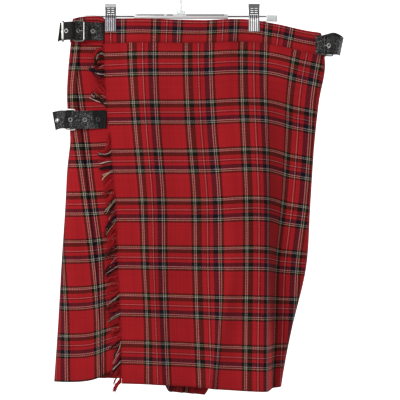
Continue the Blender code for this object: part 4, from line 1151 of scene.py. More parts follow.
FRINGE_HANG = np.array(
    [  # drop of the root, degrees below level at the root and at the tip, length
        (47.0, 10.0, 40.0, 20.0),
        (54.0, -45.0, 100.0, 28.0),
        (61.0, -60.0, 150.0, 33.0),
        (69.0, -35.0, 100.0, 28.0),
        (80.0, -10.0, 50.0, 22.0),
        (90.0, 15.0, -45.0, 26.0),
        (96.0, 25.0, -60.0, 29.0),
        (110.0, 5.0, -45.0, 24.0),
        (130.0, -40.0, -50.0, 24.0),
        (147.0, -20.0, -38.0, 30.0),
        (157.0, -50.0, -30.0, 27.0),
        (200.0, 76.0, 74.0, 21.0),
        (220.0, 70.0, 58.0, 23.0),
        (235.0, 35.0, -30.0, 24.0),
        (252.0, 5.0, 20.0, 22.0),
        (264.0, 5.0, 15.0, 25.0),
        (271.0, 12.0, 55.0, 26.0),
        (292.0, 40.0, 55.0, 24.0),
        (318.0, 45.0, 58.0, 31.0),
        (340.0, 40.0, 70.0, 25.0),
        (351.0, 50.0, 62.0, 31.0),
        (376.0, 50.0, 60.0, 26.0),
        (408.0, 12.0, 45.0, 25.0),
        (425.0, 14.0, 65.0, 26.0),
        (442.0, 15.0, 40.0, 28.0),
        (464.0, 10.0, 30.0, 24.0),
        (490.0, 38.0, 50.0, 28.0),
        (508.0, 22.0, 22.0, 25.0),
        (525.0, 22.0, 42.0, 28.0),
        (550.0, 20.0, 40.0, 24.0),
        (576.0, 55.0, 62.0, 27.0),
        (611.0, 40.0, 62.0, 24.0),
        (652.0, 55.0, 64.0, 22.0),
    ]
)
ROOT, LEAN_AT_ROOT, LEAN_AT_TIP, REACH = range(4)
print("fringe:", YARNS + CORNER_YARNS, "yarns in locks", LOCK_PITCH, "mm apart")


# %% Roots of the yarns
def wander(rng, count, span):
    """A slowly wandering value between about -1 and 1, one for each of count places."""
    knots = rng.uniform(-1, 1, count // span + 3)
    return through(np.arange(len(knots)), knots, np.arange(count) / span)


def edge_at(drop):
    """Point and sideways direction of the over apron's fringed edge."""
    row = apron_row(drop, front_columns=120, crease=0.0)
    along = row[1, :2] - row[0, :2]
    return row[0, :3], along / np.linalg.norm(along)


def stripe_at(drop):
    """The sett's colour at a drop of the over apron."""
    thread = math.floor((drop - GROUP_AT["over_apron"][1]) * SETT_THREADS / SETT_DOWN)
    left = abs((thread + 0.5 * SETT_THREADS) % SETT_THREADS + 0.5 - 0.5 * SETT_THREADS)
    for row in HALF_SETT:
        left -= row[WEFT]
        if left <= 0:
            return row[0]
    return HALF_SETT[-1][0]


print("the topmost yarn is", stripe_at(FRINGE_TOP))


# %% Yarn paths
def yarn_paths(rng, drops):
    """Yarn i grows from its root by length ds (-cos a, 0, -sin a), a running from lean to lean.

    Yarns gather into locks a few millimetres apart, and each lock lies in one of three layers. Returns
    the paths as yarn x step x 3 and each yarn's radius step by step."""
    count = len(drops)
    knots = np.linspace(0, LENGTH, 60)
    edges = [edge_at(drop) for drop in knots]
    spots = np.array([spot for spot, _ in edges])
    along = np.array([direction for _, direction in edges])
    root = np.column_stack([np.interp(drops, knots, column) for column in spots.T])
    side = np.column_stack([np.interp(drops, knots, column) for column in along.T])
    root[:, :2] -= side * (STRIP_GAP + 0.5 * STRIP_WIDTH)
    share = np.linspace(0, 1, YARN_STEPS)
    known = FRINGE_HANG.T
    wanted = (LEAN_AT_ROOT, LEAN_AT_TIP, REACH)
    at_root, at_tip, reach = (through(known[ROOT], known[column], drops) for column in wanted)
    lock = np.floor(drops / LOCK_PITCH + 0.7 * wander(rng, count, 15)).astype(int)
    sway = rng.normal(0, LOCK_SWAY, lock.max() + 1)[lock]
    at_root = at_root + 0.5 * sway + rng.normal(0, ROOT_STRAY, count)
    at_tip = at_tip + 1.6 * sway + rng.normal(0, TIP_STRAY, count)
    reach = reach * (1 + REACH_WAVE * wander(rng, count, 20) + rng.uniform(*REACH_STRAY, count))
    angle = np.radians(at_root[:, None] + (at_tip - at_root)[:, None] * share)
    middle = np.array([drops[lock == number].mean() for number in lock])
    gather = (middle - drops)[:, None] * GATHERED * ease(share / 0.4)
    gather = gather * (1 - 0.6 * ease((share - 0.5) / 0.5))
    step = np.where(share > 0, reach[:, None] / (YARN_STEPS - 1), 0.0)
    forward, down = (np.cumsum(way(angle) * step, axis=1) for way in (np.cos, np.sin))
    path = np.empty((count, YARN_STEPS, 3))
    path[..., 0] = root[:, :1] - forward + gather * np.sin(angle)
    path[..., 2] = root[:, 2:] - down - gather * np.cos(angle)
    stripes = np.array([stripe_at(drop) for drop in drops])
    pale, dark = np.isin(stripes, ("white", "yellow")), np.isin(stripes, ("black", "dark"))
    ahead = FIRST_AHEAD + LAYER_STEP * (lock % LAYERS) + PALE_AHEAD * pale + DARK_AHEAD * dark
    ahead = ahead + rng.uniform(0, 1.0, count)
    cloth_there = front_y(path[..., 0], -path[..., 2] - WAIST_BELOW_HOOK)
    cloth_here = front_y(root[:, 0], -root[:, 2] - WAIST_BELOW_HOOK)
    lift = ahead[:, None] * ease(share / 0.25)
    path[..., 1] = root[:, 1:2] + (cloth_there - cloth_here[:, None]) * ease(share / 0.2) - lift
    radius = YARN_RADIUS * (1 + PALE_THICKER * pale + DARK_THICKER * dark)
    return path, radius[:, None] * (1.0 - TIP_THINNER * share)


print("a yarn:", YARN_STEPS, "steps,", 2 * YARN_RADIUS, "mm thick")


# %% Fringe and its strip
def fringe_piece():
    """All yarns in one mesh: round each step of a path stand four points, path + r (a cos k + b sin k)."""
    rng = np.random.default_rng(1822)
    last = LENGTH - FRINGE_MARGIN
    corner = rng.uniform(LENGTH - CORNER_LOCK, last, CORNER_YARNS)
    drops = np.sort(np.concatenate([rng.uniform(FRINGE_TOP - 2.0, last, YARNS), corner]))
    drops = drops[(drops < UNDER_STRAP[0]) | (drops > UNDER_STRAP[1])]
    path, radius = yarn_paths(rng, drops)
    tangent = np.gradient(path, axis=1)
    tangent /= np.linalg.norm(tangent, axis=-1, keepdims=True)
    across = np.cross(tangent, (0.0, -1.0, 0.0))
    across /= np.linalg.norm(across, axis=-1, keepdims=True)
    out = np.cross(across, tangent)
    turn = np.radians((0, 90, 180, 270))[:, None]
    ring = np.cos(turn) * across[..., None, :] + np.sin(turn) * out[..., None, :]
    points = path[..., None, :] + radius[..., None, None] * ring
    number = np.arange(radius.size * 4).reshape(*radius.shape, 4)
    ends = number[:, 0, ::-1].tolist() + number[:, -1].tolist()
    mesh = closed_mesh("fringe", points, tube_cells(number) + ends)
    weave = np.broadcast_to(drops[:, None, None] - GROUP_AT["over_apron"][1], number.shape)
    lay_cloth(mesh, np.stack([0.0 * weave, weave], axis=-1))
    print("fringe:", len(drops), "yarns")
    return place("fringe_yarns", mesh, WOOL, "tartan", ["fringe"])


def strip_piece():
    """The last few threads of the edge that the yarns are still woven through."""
    drops = np.linspace(FRINGE_TOP - 4.0, LENGTH - 1.0, 200)
    ragged = 0.3 * wander(np.random.default_rng(7), len(drops), 2)
    grid = []
    for drop, more in zip(drops, ragged):
        (x, y, z), along = edge_at(drop)
        for share, weave in STRIP_COLUMNS:
            away = along * (STRIP_GAP + share * (STRIP_WIDTH + more))
            grid.append((x - away[0], y - away[1], z, weave, drop))
    grid = np.array(grid).reshape(len(drops), -1, 5)
    obj = place("fringe_edge", woven("fringe_edge", grid, GROUP_AT["over_apron"]), TARTAN, "tartan", [])
    return thicken(obj, 0.8 * CLOTH)


edge = [strip_piece(), fringe_piece()]
print("strip:", STRIP_WIDTH, "mm wide")


# %% [markdown]
# ## The cloth
#
# Every panel is one sheet: its sections stacked from waist to hem, with a wall of the tartan's thickness
# grown half to each side. Flat sizes are those of the cut panels, in metres: the over apron with its run
# round the side, the under apron, the first pleat and the eighteen pleats opened out.

# %% Panels
FINE_DROPS = np.linspace(0.0, LENGTH, 110)
BACK_DROPS = np.linspace(0.0, LENGTH, 60)
BAND_DROPS = np.linspace(-1.0, BAND_DEPTH, 9)

cloth_piece("over_apron", apron_row, FINE_DROPS, CLOTH)
cloth_piece("first_pleat", first_pleat_row, FINE_DROPS, CLOTH)
cloth_piece("under_apron", under_row, BACK_DROPS, CLOTH)
cloth_piece("pleated_back", pleat_row, BACK_DROPS, CLOTH)
cloth_piece("waistband_front", front_band_row, BAND_DROPS, BAND)
cloth_piece("waistband_left", left_band_row, BAND_DROPS, BAND)
cloth_piece("waistband_back", back_band_row, BAND_DROPS, BAND)

# %% [markdown]
# ## Straps
#
# A kilt strap is one thick piece of grained leather on edge. A flat strip bent by a curve would do, but
# here each strap also drops and twists as it goes. So its plan path is a smooth curve through the same
# knots as the solid's, its height a row of levels, and the holes are cells that are left out under each
# eyelet. A small bevel rounds the cut edges, as an edge tool does.


# %% Strap builder
STRAP_WIDTH = 32.0
CHAPE_WIDTH = 0.8 * STRAP_WIDTH
LEATHER = 2.4  # its thickness
CUT_EDGE = 0.45  # radius of its rounded edges
HOLE = 4.2
FINE_STEPS = 600  # points that a strap's curve is measured on


def strap_path(knots, spacing, holes):
    """Stations along a smooth plan path, with a cell of a hole's width nearest each place in holes."""
    knots = np.asarray(knots, float)
    chord = lengths(knots[:, :2])
    fine = np.linspace(0, chord[-1], FINE_STEPS)
    dense = np.column_stack([through(chord, column, fine) for column in knots.T])
    length = lengths(dense[:, :2])
    middles = [length[np.argmin(np.hypot(*(dense[:, :2] - place).T))] for place in holes]
    stations = np.linspace(0, length[-1], max(3, round(length[-1] / spacing)))
    for middle in middles:
        stations = stations[np.abs(stations - middle) > 0.5 * HOLE + 0.4 * spacing]
        stations = np.append(stations, (middle - HOLE / 2, middle + HOLE / 2))
    stations = np.sort(stations)
    cells = [int(np.searchsorted(stations, middle) - 1) for middle in middles]
    return np.column_stack([np.interp(stations, length, column) for column in dense.T]), cells


def strap_piece(node, knots, drop, holes=(), width=STRAP_WIDTH, lean=0.0, spacing=1.6):
    """Level v of the strap lies at (x - splay v / width, y - lean v, height(drop + v)).

    Returns the middle and the outward direction of each hole."""
    path, cells = strap_path(knots, spacing, holes)
    half, middle = width / 2, HOLE / 2
    upper = np.linspace(-half, -middle, 7)
    levels = np.concatenate([upper, -upper[::-1]])
    grid = np.empty((len(levels), len(path), 3))
    grid[..., 0] = path[:, 0] - path[:, 3] * levels[:, None] / width
    grid[..., 1] = path[:, 1] - lean * levels[:, None]
    grid[..., 2] = height(drop + levels[:, None], path[:, 2])
    row = len(upper) - 1
    mesh = surface(node, grid, grid_cells(*grid.shape[:2], [(row, c) for c in cells]))
    thicken(place(node + "_leather", mesh, LEATHER_BLACK, "black_leather", [node]), LEATHER, CUT_EDGE)
    spots = []
    for c in cells:
        step = grid[row, c + 1, :2] - grid[row, c, :2]
        facing = np.array([-step[1], step[0], 0.0]) / np.linalg.norm(step)
        spots.append(((grid[row, c] + grid[row + 1, c + 1]) / 2, facing))
    return spots


print("straps:", STRAP_WIDTH, "mm wide, chapes", CHAPE_WIDTH, "mm")

# %% [markdown]
# ## Bars and rings
#
# Buckles, prongs, eyelets and the hanger's rod are bent or turned from wire and sheet. Curve objects with
# a bevel could draw them, but they twist where a path turns quickly. So all of them are a section carried
# along a path: at each point the section's first axis is the given "up" made square to the path, and its
# second is their cross.


# %% Swept shapes
def swept(path, outline, closed=False, up=(0.0, -1.0, 0.0)):
    """Points and faces of p(i, k) = path_i + a_k up_i + b_k (tangent_i x up_i)."""
    path, outline = np.asarray(path, float), np.asarray(outline, float)
    step = np.roll(path, -1, 0) - np.roll(path, 1, 0) if closed else np.gradient(path, axis=0)
    tangent = step / np.linalg.norm(step, axis=1, keepdims=True)
    up = np.broadcast_to(np.asarray(up, float), path.shape)
    lift = up - tangent * (tangent * up).sum(1, keepdims=True)
    lift /= np.linalg.norm(lift, axis=1, keepdims=True)
    across = np.cross(tangent, lift)
    points = path[:, None] + lift[:, None] * outline[None, :, :1] + across[:, None] * outline[None, :, 1:]
    number = np.arange(len(path) * len(outline)).reshape(len(path), -1)
    if closed:
        return points, tube_cells(np.concatenate([number, number[:1]]))
    return points, tube_cells(number) + [number[0, ::-1].tolist(), number[-1].tolist()]


def bar_piece(name, path, outline, material, slot, nodes, closed=False, up=(0.0, -1.0, 0.0)):
    """A swept shape as a piece."""
    return place(name, closed_mesh(name, *swept(path, outline, closed, up)), material, slot, nodes)


def round_angles(sides):
    """Angles of evenly spaced points round a circle."""
    return np.arange(sides) * 2 * math.pi / sides


def oval(half_up, half_across, sides):
    """(A cos t, B sin t): points of an ellipse, as (along up, across)."""
    angle = round_angles(sides)
    return np.column_stack([half_up * np.cos(angle), half_across * np.sin(angle)])


def rounded_box(half_up, half_across, power=3.0, sides=32):
    """|a/A|^n + |b/B|^n = 1, a box with soft corners."""
    box = oval(1.0, 1.0, sides)
    reach = (np.abs(box) ** power).sum(1, keepdims=True) ** (-1 / power)
    return box * reach * (half_up, half_across)


straight = swept([(0.0, 0.0, 0.0), (10.0, 0.0, 0.0)], oval(1.0, 1.0, 12))
print("a bar with 12 sides has", len(straight[1]), "faces")

# %% Buckle parts
WIRE, PRONG = 1.25, 0.9  # radii
BUCKLE_HEIGHT, BUCKLE_CORNER = 38.0, 4.0
EYELET_OUTER, EYELET_INNER, EYELET_HEIGHT = 4.0, 1.9, 0.7
METAL_GAP = 0.3  # air between metal and what it lies on
PRONG_GAP = 1.4  # from an eyelet's top to the prong's middle


def eyelet_piece(node, spot, metal_shading):
    """A rolled ring, flat behind and round in front, lying on the leather round its hole."""
    middle, ahead = spot
    aside = np.array([-ahead[1], ahead[0], 0.0])
    radius, half = (EYELET_OUTER + EYELET_INNER) / 2, (EYELET_OUTER - EYELET_INNER) / 2
    centre = middle + ahead * (LEATHER / 2 + METAL_GAP + EYELET_HEIGHT / 2)
    angle = round_angles(40)[:, None]
    path = centre + radius * (np.cos(angle) * aside + np.sin(angle) * (0.0, 0.0, 1.0))
    turn = np.linspace(0, math.pi, 9)
    dome = np.column_stack([EYELET_HEIGHT * (np.sin(turn) - 0.5), half * np.cos(turn)])
    bar_piece(node + "_ring", path, dome, metal_shading, "nickel", [node], closed=True, up=ahead)


def buckle_piece(node, drop, bar_end, roller_end, metal_shading, lean=0.0):
    """A wire frame: four straight sides and quarter-circle corners between pivot bar and roller bar."""
    pivot, roll = np.asarray(bar_end, float), np.asarray(roller_end, float)
    along = (roll - pivot) / np.linalg.norm(roll - pivot)
    half, z = BUCKLE_HEIGHT / 2 - WIRE, height(drop, 0.0)
    path = []
    for centre, up_sign, out in ((pivot, 1, -1), (pivot, -1, -1), (roll, -1, 1), (roll, 1, 1)):
        turns = np.linspace(0, math.pi / 2, 7)
        if (out < 0) != (up_sign > 0):
            turns = turns[::-1]
        for turn in turns:
            inward = BUCKLE_CORNER * (1 - math.sin(turn))
            level = up_sign * (half - BUCKLE_CORNER * (1 - math.cos(turn)))
            x, y = centre - along * out * inward
            path.append((x, y + lean * level, z + level))
    ahead = np.array([along[1], -along[0], 0.0])
    ahead *= -1.0 if ahead[1] > 0 else 1.0
    bar_piece(node + "_frame", path, oval(WIRE, WIRE, 14), metal_shading, "nickel", [node], closed=True, up=ahead)


def prong_piece(node, hole, rest):
    """The tongue, a straight bar from in front of its hole to where it rests on the frame."""
    middle, facing = hole
    start = middle + facing * (LEATHER / 2 + METAL_GAP + EYELET_HEIGHT + PRONG_GAP)
    end = np.array([rest[0], rest[1] - WIRE - PRONG - METAL_GAP, middle[2]])
    path = start + (end - start) * np.linspace(0, 1, 12)[:, None]
    bar_piece(node + "_tongue", path, oval(PRONG, PRONG, 14), NICKEL, "nickel", [node], up=(0.0, 0.0, 1.0))


print("buckles:", BUCKLE_HEIGHT, "mm tall, of wire", 2 * WIRE, "mm thick")

# %% [markdown]
# ## Three buckled straps
#
# Each strap passes through its buckle's frame; the buckle is held by a narrower loop of leather, the
# chape, sewn to the kilt. A loop makes all three from their tables, which are plan paths: x, y, how far
# the strap drops further, and how far right its top edge stands of its bottom edge where it twists.

# %% Strap tables
UPPER_STRAP = (
    (-135.8, -6.9, 0.0, 0.0),
    (-147.0, -8.7, 0.0, 0.0),
    (-160.0, -12.9, 0.0, 0.0),
    (-172.5, -16.6, 0.0, 0.0),
    (-179.0, -20.4, 0.0, 0.0),
    (-185.0, -25.6, 0.0, 0.0),
    (-191.0, -27.2, 0.0, 0.0),
    (-198.0, -25.8, 0.3, 0.0),
    (-204.0, -23.7, 0.6, 0.0),
    (-209.5, -20.9, 1.0, 0.0),
    (-213.4, -15.8, 1.6, 3.0),
    (-214.6, -8.0, 2.4, 4.5),
)
UPPER_CHAPE = (
    (-193.5, -22.5, 0.0, 0.0),
    (-188.8, -22.7, 0.0, 0.0),
    (-185.8, -19.6, 0.0, 0.0),
    (-188.8, -16.5, 0.0, 0.0),
    (-196.0, -15.9, 0.0, 0.0),
    (-202.0, -12.6, 0.5, 0.0),
    (-204.5, -5.0, 1.0, 0.0),
    (-202.0, 4.0, 1.0, 0.0),
    (-197.0, 10.2, 1.0, 0.0),
    (-191.0, 13.2, 1.0, 0.0),
)
UPPER_BAR, UPPER_ROLLER = (-188.8, -19.6), (-170.8, -20.4)
UPPER_HOLES = ((-155.8, -11.5), (-183.0, -21.8), (-201.0, -24.8))
HIP_STRAP = (
    (-131.4, -16.9, -0.9, 0.0),
    (-143.0, -17.9, -0.6, 0.0),
    (-160.0, -20.0, 0.0, 0.0),
    (-176.0, -21.8, 0.5, 0.0),
    (-183.0, -24.2, 0.6, 0.0),
    (-191.0, -27.4, 0.4, 0.0),
    (-203.0, -27.3, 0.0, 0.0),
    (-213.0, -21.8, 0.0, -1.5),
    (-223.4, -15.9, 2.4, -6.0),
)
HIP_CHAPE = (
    (-207.5, -21.9, 0.0, 0.0),
    (-203.0, -22.1, 0.0, 0.0),
    (-199.4, -18.6, 0.0, 0.0),
    (-203.0, -15.1, 0.0, 0.0),
    (-208.0, -12.8, 0.0, 0.0),
    (-209.5, -5.0, 0.0, 0.0),
    (-206.0, 3.0, 0.0, 0.0),
)
HIP_BAR, HIP_ROLLER = (-203.0, -18.6), (-186.0, -21.9)
HIP_HOLES = ((-146.1, -18.2), (-169.2, -21.1), (-194.0, -27.6), (-217.4, -19.3))
HIP_LEAN = 0.07
RIGHT_STRAP = (
    (232.0, 18.6, 0.0, 0.0),
    (246.0, 18.5, -3.5, 0.0),
    (260.0, 17.0, -7.4, 0.0),
    (271.0, 12.2, -9.4, 1.0),
    (279.5, 5.0, -4.5, 4.5),
    (282.8, -2.0, 0.0, 6.5),
    (281.0, -10.5, 0.0, 5.5),
    (275.5, -17.2, 0.0, 2.5),
    (268.0, -20.5, 0.0, 0.5),
    (262.0, -20.4, 0.0, 0.0),
    (257.0, -18.5, 0.0, 0.0),
    (252.0, -17.6, 0.0, 0.0),
    (245.0, -17.6, -0.6, 0.0),
    (237.0, -17.9, -1.6, 0.0),
)
RIGHT_CHAPE = (
    (241.0, -15.0, 0.0, 0.0),
    (252.0, -14.6, 0.0, 0.0),
    (262.0, -11.6, 0.0, 0.0),
    (268.0, -10.2, 0.0, 0.0),
    (271.2, -13.4, 0.0, 0.0),
    (268.0, -16.6, 0.0, 0.0),
    (262.5, -16.4, 0.0, 0.0),
)
RIGHT_BAR, RIGHT_ROLLER = (252.6, -21.9), (268.0, -13.4)
RIGHT_HOLES = ((260.2, -19.9),)
UPPER_DROP, HIP_DROP, RIGHT_DROP = 22.4, 178.6, 48.4
print("strap tables:", len(UPPER_STRAP) + len(HIP_STRAP) + len(RIGHT_STRAP), "knots")

# %% The straps
STRAPS = {  # strap, chape, drop, lean, holes
    "upper": (UPPER_STRAP, UPPER_CHAPE, UPPER_DROP, 0.0, UPPER_HOLES),
    "hip": (HIP_STRAP, HIP_CHAPE, HIP_DROP, HIP_LEAN, HIP_HOLES),
    "right": (RIGHT_STRAP, RIGHT_CHAPE, RIGHT_DROP, 0.0, RIGHT_HOLES),
}
PUNCHED = {}
for label, (strap, _, drop, lean, holes) in STRAPS.items():
    PUNCHED[label] = strap_piece(label + "_strap", strap, drop, holes, lean=lean)
for label, spots in PUNCHED.items():
    for i, spot in enumerate(spots):
        name = f"{label}_eyelet_{i + 1}"
        eyelet_piece(name, spot, DARKENED_NICKEL if name == "hip_eyelet_1" else NICKEL)
for label, (_, chape, drop, lean, _) in STRAPS.items():
    strap_piece(label + "_chape", chape, drop, width=CHAPE_WIDTH, lean=lean, spacing=1.0)
print("straps:", len(STRAPS), "with", sum(len(spots) for spots in PUNCHED.values()), "eyelets")

# %% The buckles
KEEPER_MIDDLE = (-207.8, -21.5)
KEEPER_INSIDE = (STRAP_WIDTH / 2 + 1.8, LEATHER / 2 + 2.9)  # half height, half depth
KEEPER_BAND, KEEPER_PLATE = 2.0, 0.6

# The upper buckle's top and bottom bars are painted dark, as painted reflection.
buckle_piece("upper_buckle", UPPER_DROP, UPPER_BAR, UPPER_ROLLER, nickel_dark_reflection("nickel_dark_reflection", UPPER_DROP))
buckle_piece("hip_buckle", HIP_DROP, HIP_BAR, HIP_ROLLER, POLISHED, lean=HIP_LEAN)
# The right buckle's frame is painted dark, as painted shade.
buckle_piece("right_buckle", RIGHT_DROP, RIGHT_BAR, RIGHT_ROLLER, DARKENED_NICKEL)
prong_piece("upper_prong", PUNCHED["upper"][1], UPPER_ROLLER)
prong_piece("right_prong", PUNCHED["right"][0], (RIGHT_BAR[0] - 0.6, RIGHT_BAR[1]))

loop = rounded_box(*KEEPER_INSIDE, power=9.0, sides=64)
x, y = KEEPER_MIDDLE
loop = [(x, y + across, height(UPPER_DROP, 1.0) + up) for up, across in loop]
plate = rounded_box(KEEPER_BAND, KEEPER_PLATE, power=2.2, sides=16)
# The keeper is painted dark at its top and bottom too, as painted reflection.
metal_shading = nickel_dark_reflection("keeper_dark_reflection", UPPER_DROP)
bar_piece("upper_keeper_loop", loop, plate, metal_shading, "nickel", ["upper_keeper"], closed=True, up=(1, 0, 0))
print("buckles: 3, keepers: 1")

# %% [markdown]
# ## The hanger
#
# A steel rod runs through a clear moulded beam, and two spring clips slide on it. Each clip is a pair of
# ribbed plates with windows near the top, held shut on the waistband by a wound spring between them.
# Windows could be cut with Booleans, but a plate is a grid already, so they are cells left out of it.

# %% Rod and beam
ROD_RADIUS, ROD_Z, ROD_END = 1.6, -95.6, 150.5
BEAM_HALF, BEAM_HEIGHT, BEAM_DEPTH = 83.0, 8.3, 7.0
BORE_GAP = 0.3  # between the rod and the beam's bore
MOULD_EDGE = 0.6  # length over which the beam's ends are rounded off

rod = [(x, 0.0, ROD_Z) for x in (-ROD_END, -ROD_END + 0.5, ROD_END - 0.5, ROD_END)]
around = oval(ROD_RADIUS, ROD_RADIUS, 28)
bar_piece("hanger_rod_steel", rod, around, STEEL, "bright_steel", ["hanger_rod"])


def bored_piece(name, half_length, outer, bore, material, slot, nodes):
    """A tube along x: its outer outline, far end, bore and near end are rings of one closed band."""
    angle = np.arctan2(outer[:, 1], outer[:, 0])
    inner = np.column_stack([np.cos(angle), np.sin(angle)]) * bore
    near, far = -half_length, half_length
    rings = [(near + MOULD_EDGE, outer), (far - MOULD_EDGE, outer), (far, 0.88 * outer)]
    rings += [(far, inner), (near, inner), (near, 0.88 * outer)]
    points = np.array([np.column_stack([np.full(len(line), x), line + (0.0, ROD_Z)]) for x, line in rings])
    number = np.arange(len(rings) * len(outer)).reshape(len(rings), -1)
    faces = tube_cells(np.concatenate([number, number[:1]]))
    place(name, closed_mesh(name, points, faces), material, slot, nodes)


beam = rounded_box(BEAM_DEPTH / 2, BEAM_HEIGHT / 2, power=3.0, sides=36)
bore = ROD_RADIUS + BORE_GAP
bored_piece("hanger_beam_moulding", BEAM_HALF, beam, bore, BEAM_PLASTIC, "clear_plastic", ["hanger_beam"])
print("beam:", 2 * BEAM_HALF, "mm, rod:", 2 * ROD_END, "mm")

# %% Hook, boss and end tabs
BOSS_TOP = -86.0
BOSS_HALF = (4.0, 8.0)  # depth and width
HOOK_WIRE, HOOK_INNER = 2.6, 19.0
HOOK_ARC = (-52, 205)  # degrees round the rail
HOOK_NECK = ((0.0, BOSS_TOP + 0.3), (0.0, -60.0), (1.0, -53.0), (5.0, -44.5))  # x and z of its stem
TAB_LENGTH, TAB_GAP = 18.6, 0.4  # and the air between it and the rod's end
TAB_HALF = (2.1, 5.6)  # depth and height
TAB_BELOW, TAB_DROP = 3.0, 0.5  # below the rod at its near end, and how much lower its far end is

wire = HOOK_INNER + HOOK_WIRE
angle = np.radians(np.linspace(*HOOK_ARC, 60))
bend = np.column_stack([wire * np.cos(angle), 0 * angle, -HOOK_INNER + wire * np.sin(angle)])
neck = [(x, 0.0, z) for x, z in HOOK_NECK]
hook = np.concatenate([softened(np.array([*neck, bend[0]]), 3)[:-1], bend])
around = oval(HOOK_WIRE, HOOK_WIRE, 24)
bar_piece("hanger_hook_wire", hook, around, CLEAR, "clear_plastic", ["hanger_hook"])

boss_foot = ROD_Z + BEAM_HEIGHT / 2 + 0.3
boss = [(0.0, 0.0, z) for z in np.linspace(boss_foot, BOSS_TOP, 6)]
bar_piece("hanger_boss_moulding", boss, oval(*BOSS_HALF, 32), CLEAR, "clear_plastic", ["hanger_boss"])

share = np.linspace(0, 1, 8)
flat = rounded_box(*TAB_HALF, power=2.6, sides=28)
for side, label in ((-1, "left"), (1, "right")):
    x = side * (ROD_END + TAB_GAP + TAB_LENGTH * share)
    tab = np.column_stack([x, 0 * share, ROD_Z - TAB_BELOW - TAB_DROP * share])
    name = f"hanger_end_{label}"
    bar_piece(name + "_tab", tab, flat, END_PLASTIC, "clear_plastic", [name])
print("hook:", len(hook), "steps round a rail of", 2 * HOOK_INNER, "mm at most")

# %% Clip sizes
CLIP_WIDTH = 18.6
CLIP_TOP, CLIP_FOOT = -74.0, -122.6
PLATE, PLATE_EDGE = 1.1, 0.18  # thickness, radius of the pressed edges
JAW, RIB = 9.95, 0.5
FLARE, FLARE_FROM, FLARE_OVER = 0.06, -86.0, 12.0  # the plate widens towards its top
JAW_PROFILE = np.array(
    [  # z, y from the hanger's middle plane, share of the ribs
        (CLIP_FOOT, JAW + 0.2, 0.0),
        (CLIP_FOOT + 2.0, JAW, 1.0),
        (-102.0, JAW, 1.0),
        (-98.6, JAW - 0.6, 0.5),
        (-95.6, 5.6, 0.0),
        (-93.7, 4.6, 0.0),
        (-91.0, 4.4, 0.0),
        (-89.3, 4.5, 0.0),
        (-87.3, 4.8, 0.0),
        (-85.8, 5.1, 0.0),
        (-83.8, 5.5, 0.0),
        (-82.1, 5.9, 0.0),
        (-80.1, 6.4, 0.0),
        (CLIP_TOP, 8.2, 0.0),
    ]
)
SLOTS = ((-93.7, -91.0),)  # foot and top of the row of slots
PANES = ((-89.3, -87.3), (-85.8, -83.8), (-82.1, -80.1))  # and of the windows above it
SLOT_HALF = 1.1
PANE_SIDES = (0.9, 6.4)  # of each window, from the clip's middle
SPRING_HALF, SPRING_RADIUS, SPRING_WIRE, SPRING_TURNS = 6.0, 3.0, 0.5, 9
print("clips:", round(CLIP_TOP - CLIP_FOOT, 1), "mm tall")


# %% Clips
def windows(z, x):
    """Cells of a plate that are left out: slots between the ribs, and two panes a row above them."""
    middle = abs((x[:-1] + x[1:]) / 2)
    pane = (middle > PANE_SIDES[0]) & (middle < PANE_SIDES[1])
    slot = (middle < 2 * RIB_PITCH) & (abs(middle % RIB_PITCH - RIB_PITCH / 2) < SLOT_HALF)
    cells = []
    for low, high, columns in [(*span, slot) for span in SLOTS] + [(*span, pane) for span in PANES]:
        rows = np.flatnonzero((z[:-1] >= low - 0.01) & (z[1:] <= high + 0.01))
        cells += [(r, c) for r in rows for c in np.flatnonzero(columns)]
    return cells


def jaw_piece(node, centre, side, shift):
    """Plate y(z) from JAW_PROFILE, with cosine ribs across x where it grips the cloth."""
    known, depth, ribbed = JAW_PROFILE.T
    between = [np.linspace(a, b, 4, endpoint=False) for a, b in zip(known, known[1:])]
    z = np.append(np.concatenate(between), CLIP_TOP)
    x = np.linspace(-0.5, 0.5, 63) * CLIP_WIDTH
    off = x - shift
    ribs = -0.6 * RIB * np.cos(2 * math.pi * off / RIB_PITCH) * (abs(off) < 2 * RIB_PITCH)
    flare = 1.0 + FLARE * ease((z - FLARE_FROM) / FLARE_OVER)
    grid = np.empty((len(z), len(x), 3))
    grid[..., 0] = centre + x * flare[:, None]
    grid[..., 1] = np.interp(z, known, depth)[:, None] + np.interp(z, known, ribbed)[:, None] * ribs
    grid[..., 1] *= side
    grid[..., 2] = z[:, None]
    mesh = surface(node, grid, grid_cells(*grid.shape[:2], windows(z, x)))
    thicken(place(node + "_plate", mesh, CLIP_STEEL, "bright_steel", [node]), PLATE, PLATE_EDGE)


turn = np.linspace(0, 2 * math.pi * SPRING_TURNS, 16 * SPRING_TURNS)
out = np.column_stack([0 * turn, np.cos(turn), np.sin(turn)])
coil = (SPRING_RADIUS - SPRING_WIRE) * out + (0.0, 0.0, ROD_Z)
wound = SPRING_HALF - SPRING_WIRE
around = oval(SPRING_WIRE, SPRING_WIRE, 8)
for centre, label, shift in zip(CLIP_X, ("left", "right"), RIB_SHIFT):
    jaw_piece(f"clip_{label}_front", centre, -1, shift)
    jaw_piece(f"clip_{label}_back", centre, 1, shift)
    coil[:, 0] = np.linspace(centre - wound, centre + wound, len(turn))
    name = f"clip_{label}_spring"
    bar_piece(name + "_coil", coil, around, STEEL, "bright_steel", [name], up=out)
print("clips:", len(CLIP_X))

# %% [markdown]
# ## Stage, light and camera
#
# The hanger is thought of as on a rail 1.9 m up: a round pale floor lies that far below the hook's seat,
# and a white dome stands round both, wide enough for a camera at any side to be inside it. They are
# backdrop alone: neither sends light onto the cloth, which would wash the folds out. A large soft lamp
# in front on the left throws the deep fold into shade, a weaker one fills in from the right, and one
# behind rakes across the pleats.

# %% Stage
FLOOR, DOME = -1.90, 6.5  # metres
WHITE = (1.0, 1.0, 1.0, 1.0)


